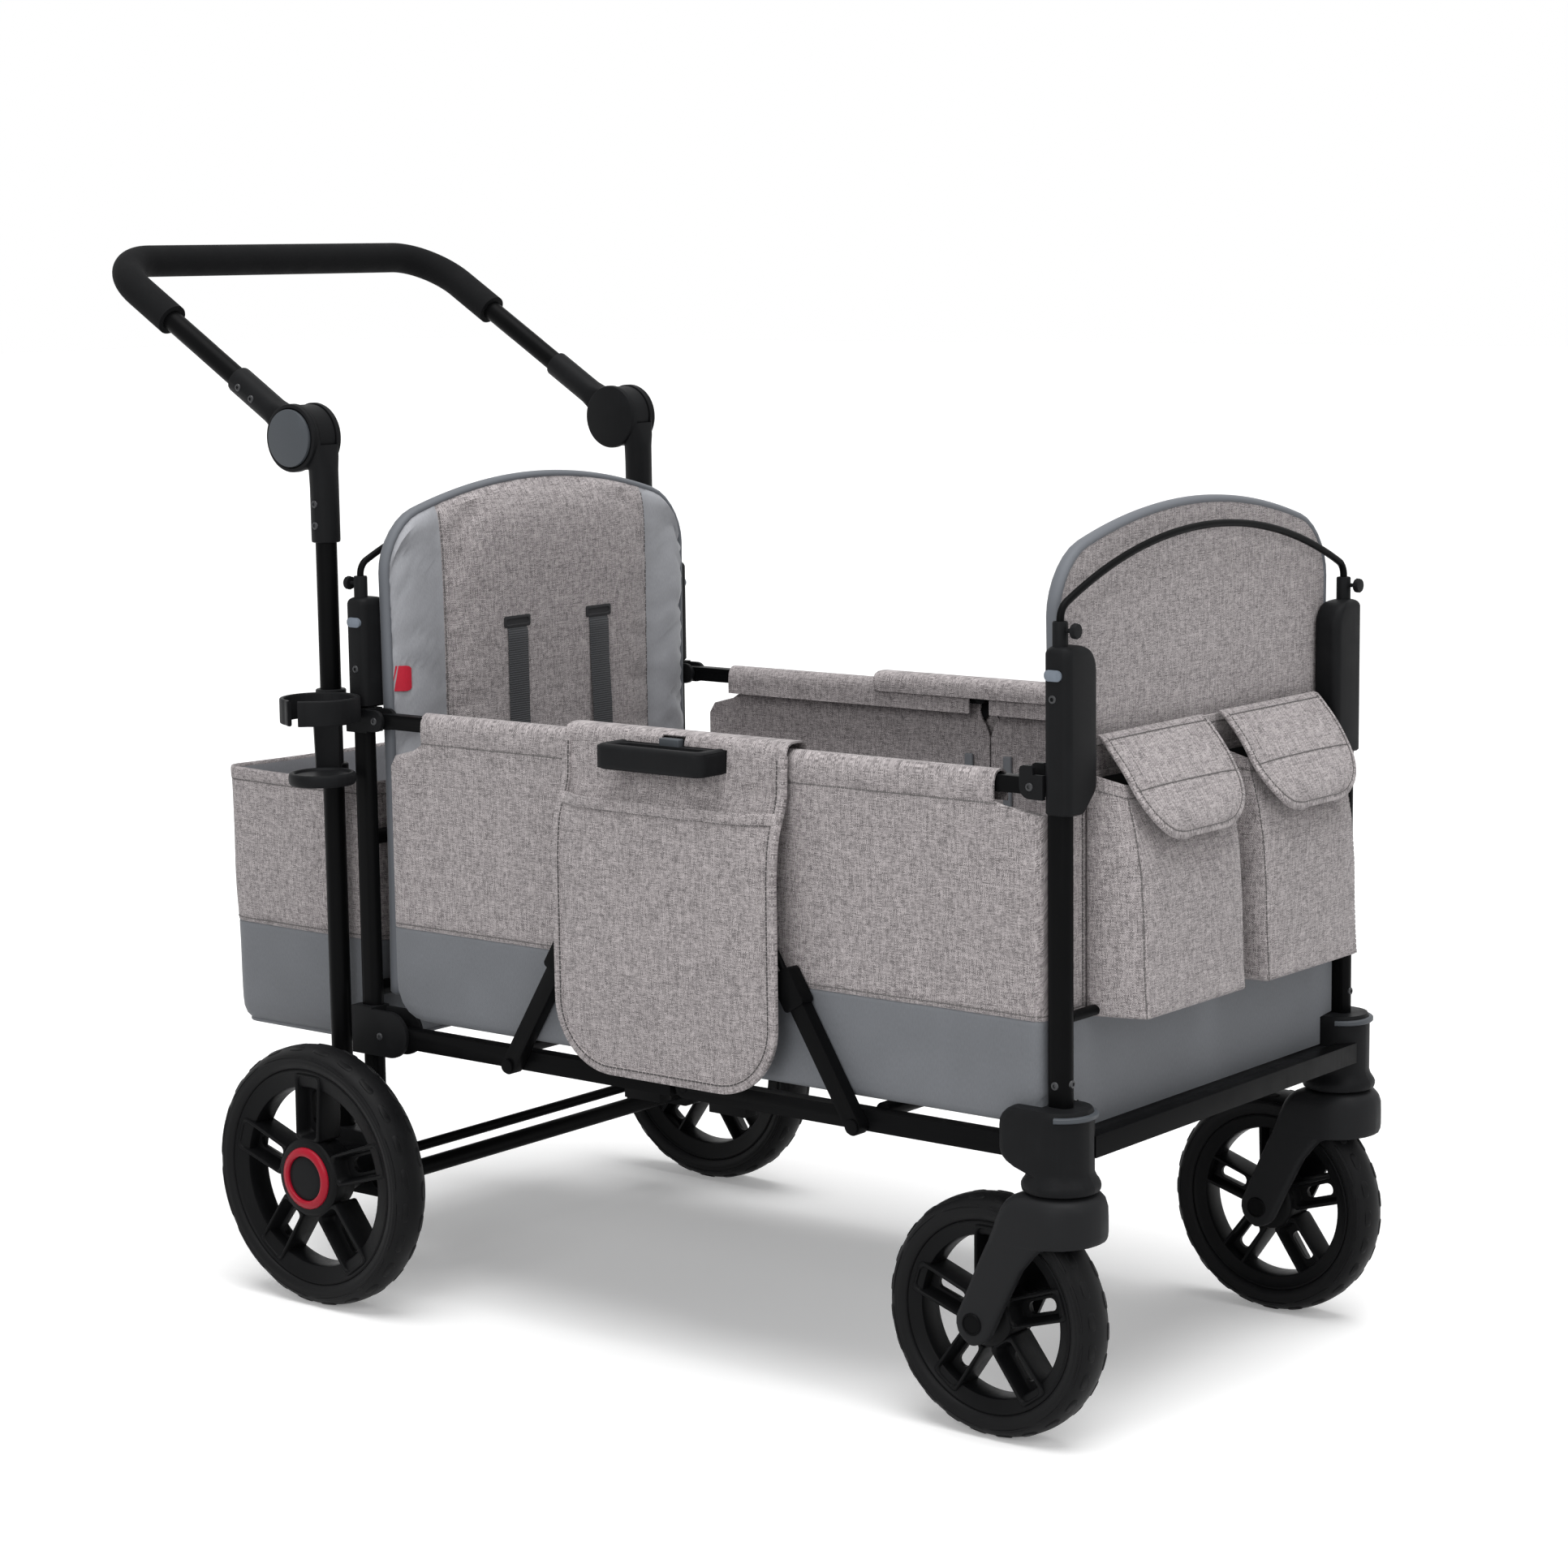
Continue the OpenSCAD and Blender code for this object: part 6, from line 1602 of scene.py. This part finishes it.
class WAGON_OT_bag(Operator):
    """Sews the storage bag behind the rear posts, with its band, hem and hanging loops"""

    bl_idname = "wagon.bag"
    bl_label = "Storage Bag"

    def execute(self, context):
        def shape(inset):
            soft = max(2.0, 20.0 - inset * 0.5) if inset < 90 else 1.5
            return rounded_rect(BAG_HALF_X - inset, BAG_HALF_Y - inset, soft, 6, 22, 12)

        def paint(a, b):
            if a[2] in ("lining", "floor"):
                return 2
            return int(max(a[1], b[1]) <= BAG_BAND + 0.1)

        loops = sewn_bag("storage_bag_sewn", BAG_ROWS, shape, self.place, "heather band bolster", paint,
                         "rear_end", "storage_bag")
        lines = [self.around(loops, z) for z in (BAG_TOP - 14.0, BAG_BAND + 4.5)]
        stitches("storage_bag_stitches", lines, "rear_end")
        seam = Build(sweep(loops[5], circle(2.4 * MM, 8), closed=True))
        piece("storage_bag_seam", seam, "band", "rear_end", "band", sharp=60)
        self.hanging_loops()
        return {"FINISHED"}

    def place(self, a, b, z, kind):
        """A point of the bag with its belly, folds and sagging mouth."""
        if kind in ("foot", "floor"):
            return at(BAG_X + a, b, z)
        t = (z - BAG_FOOT) / (BAG_TOP - BAG_FOOT)
        back = ease((-a / BAG_HALF_X - 0.2) / 0.8)
        flank = ease((abs(b) / BAG_HALF_Y - 0.3) / 0.7)
        mid_b, mid_a = 1 - (b / BAG_HALF_Y) ** 2, max(0.0, 1 - (a / BAG_HALF_X) ** 2)
        belly = math.sin(math.pi * min(1.0, max(0.0, t)) ** 0.8)
        folds = ripple(b / 60 + a / 85, z / 95, 21.0)
        push = back * (7.0 * t + mid_b * (2.5 * belly - 1.5 * t ** 4)) + 2.4 * folds * belly
        side_push = flank * mid_a * (3.0 * belly - 1.5 * t ** 4) + 2.0 * folds * flank * belly
        x = BAG_X + a - (push if a < 0 else 0.0)
        y = b + (math.copysign(side_push, b) if abs(b) > BAG_HALF_Y * 0.6 else 0.0)
        sag = t ** 5 * (3.5 * back * mid_b + 1.5 * flank * mid_a * (1 - back))
        return at(x, y, z - sag)

    def around(self, loops, z):
        k = min((q for q, row in enumerate(BAG_ROWS) if row[2] == "wall"), key=lambda q: abs(BAG_ROWS[q][1] - z))
        rise = UP * ((z - BAG_ROWS[k][1]) * MM)
        return [off_loop(loops[k], q, 0.35 * MM) + rise for q in range(len(loops[k]) + 1)]

    def hanging_loops(self):
        """Webbing loops round the rear cross bar."""
        build = Build()
        ring = rounded_rect(0.8 * MM, 12.0 * MM, 0.7 * MM, 3)
        for y in (-150.0, 0.0, 150.0):
            points = [at(x, y, z) for x, z in BAG_LOOP]
            normals = [(after - before).normalized().cross(Vector((0, 1, 0)))
                       for before, after in zip(points[:1] + points, points[1:] + points[-1:])]
            build.add(*sweep(points, ring, normals), uv=[(b, run) for run in run_along(points) for _, b in ring])
        piece("storage_bag_loops", build, "strap", "rear_end", "band", sharp=50)


PANEL_HEIGHTS = ([288.5, 296, 302, 308, 315.8, 318.2] + spread(6, 330.0, 390.0) + [395, 396.2, 397.4]
                 + spread(13, 408.0, 570.0) + [574.5, 577] + spread(5, 585.0, 634.0) + [638, 640])
PANEL_COLUMNS = sorted(set([-1, -0.985] + spread(31, -0.95, 0.95) + [0.985, 1]))
PANEL_X, PANEL_SEAM = 857, 396.2
POCKET_BACK, POCKET_HALF_X, POCKET_HALF_Y, POCKET_FOOT, POCKET_TOP = 857.9, 28, 96, 390.5, 600
POCKET_FRONT = ((392, 914), (480, 912), (524, 908.5), (560, 901), (587, 893), (600, 889.5))
POCKET_ROWS = bag_rows(
    foot=[(26, POCKET_FOOT + 0.5), (10, POCKET_FOOT + 0.2)],
    wall=[(inset, POCKET_FOOT + d) for inset, d in ((2.6, 0), (0.9, 0.8), (0.1, 2.6), (0, 8))]
    + [(0, z) for z in spread(18, POCKET_FOOT + 18, POCKET_TOP - 12)]
    + [(inset, POCKET_TOP - d) for inset, d in ((0.2, 6), (0, 1.5), (0.6, 0), (1.8, 1))],
    lining=[(2.3, POCKET_TOP - 6)] + [(2.4, z) for z in spread(6, POCKET_TOP - 20, POCKET_FOOT + 24)]
    + [(4, POCKET_FOOT + 6)],
    floor=[(9, POCKET_FOOT + 3.4), (26, POCKET_FOOT + 3.2)])
POCKET_MOUTH = 23
LID_PATH = ((860.2, 641), (862.5, 640.6), (866, 638), (870, 633.8), (874, 629.4), (878.5, 624.6),
            (883, 619.6), (887.2, 614.6), (891, 609.4), (894.6, 604), (898, 598.4), (901.6, 592.8),
            (905, 587), (908.2, 581.6), (911, 576.4), (913.6, 571), (915.6, 565.6), (917, 560.4),
            (917.8, 555.4), (918, 551.6), (918, 549.6))
LID_RUN = run_along([Vector(p) for p in LID_PATH])
LID_LENGTH, LID_HALF, LID_CORNER = LID_RUN[-1], 87, 56
LID_HALF_COLUMNS = [-1, -0.97, -0.92, -0.84, -0.74, -0.62, -0.5, -0.36, -0.2, -0.06]
LID_COLUMNS = LID_HALF_COLUMNS + [0] + [-c for c in reversed(LID_HALF_COLUMNS)]


def lid_half(run):
    return LID_HALF - corner_drop(LID_LENGTH - run, LID_CORNER)


class WAGON_OT_front(Operator):
    """Sews the front panel, its two bellows pockets and their lids"""

    bl_idname = "wagon.front"
    bl_label = "Front Panel and Pockets"

    def execute(self, context):
        self.panel()
        for hand, side in SIDES:
            self.lid("pocket_lid_" + hand, side)
        for hand, side in SIDES:
            self.pocket(hand, side)
        return {"FINISHED"}

    def panel(self):
        grid = []
        for c in PANEL_COLUMNS:
            column = []
            for z in PANEL_HEIGHTS:
                half = 213.5 if z < 317 else 235.5 if z < 575.5 else 204.5
                hold = min(1.0, (1 - abs(c)) / 0.2, (z - 288) / 40, (646 - z) / 40)
                tuck = 0.6 * hold * (1 + ripple(c * 3, z / 110, 31.0)) + (0.7 if z == PANEL_SEAM else 0.0)
                column.append(at(PANEL_X - tuck, c * half, z))
            grid.append(column)
        shell = cloth_shell(grid, planar_uv(grid, lambda p: (p.y, p.z)), 2.4 * MM,
                            lambda i, j: int(PANEL_HEIGHTS[j] < 396))
        obj = piece("front_panel_cloth", Build(shell), "heather band", "front_end", "heather", "front_panel", sharp=60)
        declare_sheet(grid)
        lines = [[grid_point(grid, u, index_in(PANEL_HEIGHTS, z), 0.3 * MM)
                  for u in spread(80, 0.5, len(grid) - 1.5)] for z in (401.0, 633.0)]
        lines += [[at(PANEL_X + 0.5, y, z) for z in spread(30, 402.0, 612.0)] for y in (-207.0, 207.0)]
        stitches("front_panel_stitches", lines, "front_end")
        lip = upright([(z, 846.0 + i, 873.0 - i, -214.0 + i, 214.0 - i, 2.0) for z, i in
                       ((283.0, 0.8), (283.8, 0.0), (286.2, 0.0), (287.0, 0.8))], 1)
        piece("front_tray_lip", Build(lip), "plastic", "front_end", "plastic", sharp=34)

    def pocket(self, hand, side):
        def shape(inset):
            return rounded_rect(POCKET_HALF_X - inset, POCKET_HALF_Y - inset, max(1.0, 3.4 - inset * 0.3), 4, 12, 6)

        def place(a, b, z, kind):
            t = (z - POCKET_FOOT) / (POCKET_TOP - POCKET_FOOT)
            ahead, wide = (a + POCKET_HALF_X) / (2 * POCKET_HALF_X), b / POCKET_HALF_Y
            belly = math.sin(math.pi * min(1.0, max(0.0, t)) ** 0.75)
            folds = ripple(b / 38 + side, z / 60 + b / 120, 41.0) * belly if kind in ("wall", "lining") else 0.0
            x = lerp(POCKET_BACK, table_value(POCKET_FRONT, z), ahead)
            x += ease(ahead * 2 - 1) * (1.5 * folds - 2.5 * abs(wide) ** 5 * belly)
            nip = 0.8 * folds - 3.0 * math.sin(math.pi * ahead) * belly if abs(wide) > 0.85 else 0.0
            y = lerp(108.0, 103.0, ahead) + wide * lerp(96.0, 83.0, ahead) + math.copysign(nip, b)
            return at(x, side * y, z + 11.0 * (1 - ahead) * ease((z - 540) / 60))

        loops = sewn_bag("front_pocket_" + hand, POCKET_ROWS, shape, place, "heather lining",
                         lambda a, b: int(a[2] in ("lining", "floor")), "front_end", "front_pockets")
        lines, low = [], loops[5]
        for way in (-1, 1):
            corner = max(range(len(low)), key=lambda k: low[k].x + way * low[k].y)
            lines.append([off_loop(loop, corner, 0.3 * MM, 0.3) for loop in loops[4:POCKET_MOUTH + 1]])
        mouth = loops[POCKET_MOUTH]
        lines.append([off_loop(mouth, k, 0.3 * MM, 0.3) for k in range(len(mouth) + 1)])
        stitches("front_pocket_stitches_" + hand, lines, "front_end")

    def lid(self, body, side):
        def point(c, x, z, run):
            bend = 1.6 * math.sin(math.pi * run / LID_LENGTH) * ripple(c * 1.7 + side, run / 40, 51.0)
            droop = 2.2 * abs(c) ** 3 * ease(run / 60)
            return at(x + bend * 0.6 - droop * 0.3, side * 102.0 + c * lid_half(run), z + bend * 0.5 - droop)

        grid = [[point(c, x, z, run) for (x, z), run in zip(LID_PATH, LID_RUN)] for c in LID_COLUMNS]
        uv = [[(c * LID_HALF * MM, run * MM) for run in LID_RUN] for c in LID_COLUMNS]
        build = Build(cloth_shell(grid, uv, 2.2 * MM))
        edge, above = (self.inset_line(grid, 3.2, lift, 4.0) for lift in (-1.1, 1.0))
        build.add(*sweep(edge, rounded_rect(1.9 * MM, 3.5 * MM, 1.2 * MM, 3), [b - a for a, b in zip(edge, above)]),
                  uv=[(run, 0.0008 * q) for run in run_along(edge) for q in range(12)])
        obj = piece(body + "_cloth", build, "heather", body, "heather", body, sharp=60)
        declare_sheet(grid)
        lines = [self.inset_line(grid, 5.8, -3.2, 8.0)]
        lines += [[grid_point(grid, u, v, -2.5 * MM) for u in spread(50, 1.2, len(grid) - 2.2)] for v in (2.2, 10.5)]
        stitches(body + "_stitches", lines, body)

    def inset_line(self, grid, inset, lift, start):
        """A line a fixed distance inside the lid's free edge, lifted off its face."""
        half = [(inset - LID_HALF, run) for run in spread(26, start, LID_LENGTH - LID_CORNER)]
        half += arc(LID_CORNER - LID_HALF, LID_LENGTH - LID_CORNER, LID_CORNER - inset, -math.pi, -3 * QUARTER, 14)[1:]
        return [grid_point(grid, index_in(LID_COLUMNS, b / lid_half(run)), index_in(LID_RUN, run), lift * MM)
                for b, run in both_halves(half)]


# ---- stage ----


class WAGON_OT_stage(Operator):
    """Sets the camera at the photograph's angle, with a pale floor and soft light"""

    bl_idname = "wagon.stage"
    bl_label = "Stage"

    def execute(self, context):
        scene, stage = context.scene, context.scene.wagon_stage
        scene.view_settings.view_transform = "Standard"
        self.camera(scene, stage.lens)
        self.floor()
        self.world(scene, stage.sky)
        sun = bpy.data.lights.new("top_light", "SUN")
        sun.energy = stage.sun_level
        sun.angle = math.radians(50)
        self.aim(sun, Vector(), Vector((0.12, -0.10, 1.0)))
        for name, place, size, power in (("side", (1.3, -4.2, 2.3), 2.2, stage.key_power),
                                         ("front", (4.0, -0.5, 2.5), 2.0, stage.key_power * 0.45)):
            light = bpy.data.lights.new(name + "_softbox", "AREA")
            light.shape = "SQUARE"
            light.size = size
            light.energy = power
            self.aim(light, Vector(place), Vector(place) - Vector((0.0, 0.0, 0.5)))
        return {"FINISHED"}

    def aim(self, light, place, away):
        turn = away.to_track_quat("Z", "Y").to_matrix().to_4x4()
        place_object(light.name, light).matrix_world = Matrix.Translation(place) @ turn

    def camera(self, scene, lens):
        camera = bpy.data.cameras.new("photo_camera")
        camera.lens = lens
        camera.sensor_width = 36.0
        camera.clip_end = 60.0
        right = Vector((0.7824, 0.6226, -0.0130)).normalized()
        forward = Vector((-0.6174, 0.7727, -0.1476))
        forward = (forward - right * forward.dot(right)).normalized()
        turn = Matrix((right, right.cross(forward), -forward)).transposed()
        scene.camera = place_object("photo_camera", camera)
        scene.camera.matrix_world = Matrix.Translation(at(2617, -2834, 1075)) @ turn.to_4x4()

    def floor(self):
        reach = 30
        mesh = bpy.data.meshes.new("pale_floor")
        mesh.from_pydata([(-reach, -reach, 0), (reach, -reach, 0), (reach, reach, 0), (-reach, reach, 0)], [],
                         [(0, 1, 2, 3)])
        look = Look("pale_floor")
        look.surface({"Base Color": (0.9, 0.9, 0.9, 1), "Roughness": 0.9, "Specular IOR Level": 0.1})
        glow = look.add("ShaderNodeEmission", {"Strength": 0.21})
        lit = look.add("ShaderNodeAddShader", {0: look.bsdf.outputs[0], 1: glow})
        dim = look.add("ShaderNodeBsdfDiffuse", {"Color": (0.6, 0.6, 0.6, 1)})
        mix = look.add("ShaderNodeMixShader", {0: seen_directly(look.tree), 1: dim, 2: lit})
        feed(look.tree, look.tree.nodes["Material Output"].inputs["Surface"], mix)
        mesh.materials.append(look.material)
        place_object("pale_floor", mesh)

    def world(self, scene, sky):
        """An even white surround, brighter where the camera sees it than where it lights the wagon."""
        scene.world = bpy.data.worlds.new("even_surround")
        scene.world.use_nodes = True
        tree = scene.world.node_tree
        tree.nodes.clear()
        lit, seen = (wire(tree, "ShaderNodeBackground", {"Color": (1, 1, 1, 1), "Strength": level})
                     for level in (sky, 1.0))
        mix = wire(tree, "ShaderNodeMixShader", {0: seen_directly(tree), 1: lit, 2: seen})
        wire(tree, "ShaderNodeOutputWorld", {"Surface": mix})


class WAGON_PT_panel(Panel):
    """Lists the wagon's pieces and settings"""

    bl_idname = "WAGON_PT_panel"
    bl_label = "Stroller Wagon"
    bl_space_type = "VIEW_3D"
    bl_region_type = "UI"
    bl_category = "Wagon"

    def draw(self, context):
        for name, group in GROUPS:
            box = self.layout.box()
            for setting in group.__annotations__:
                box.prop(getattr(context.scene, name), setting)
        for op in OPERATORS:
            self.layout.operator(op.bl_idname)


OPERATORS = (WAGON_OT_stage, WAGON_OT_frame, WAGON_OT_housings, WAGON_OT_cup_holder,
             WAGON_OT_fasteners, WAGON_OT_bows, WAGON_OT_wheels, WAGON_OT_casters, WAGON_OT_walls,
             WAGON_OT_flaps, WAGON_OT_seat_backs, WAGON_OT_seat_pads, WAGON_OT_bag, WAGON_OT_front)
GROUPS = (("wagon_cloth", WagonCloth), ("wagon_hard", WagonHard), ("wagon_stage", WagonStage))


def register():
    for name, group in GROUPS:
        bpy.utils.register_class(group)
        setattr(bpy.types.Scene, name, PointerProperty(type=group))
    for cls in OPERATORS + (WAGON_PT_panel,):
        bpy.utils.register_class(cls)


def unregister():
    for cls in reversed(OPERATORS + (WAGON_PT_panel,)):
        bpy.utils.unregister_class(cls)
    for name, group in reversed(GROUPS):
        delattr(bpy.types.Scene, name)
        bpy.utils.unregister_class(group)


def main():
    register()
    prepare()
    for op in OPERATORS:
        group, name = op.bl_idname.split(".")
        getattr(getattr(bpy.ops, group), name)()


if __name__ == "__main__":
    main()
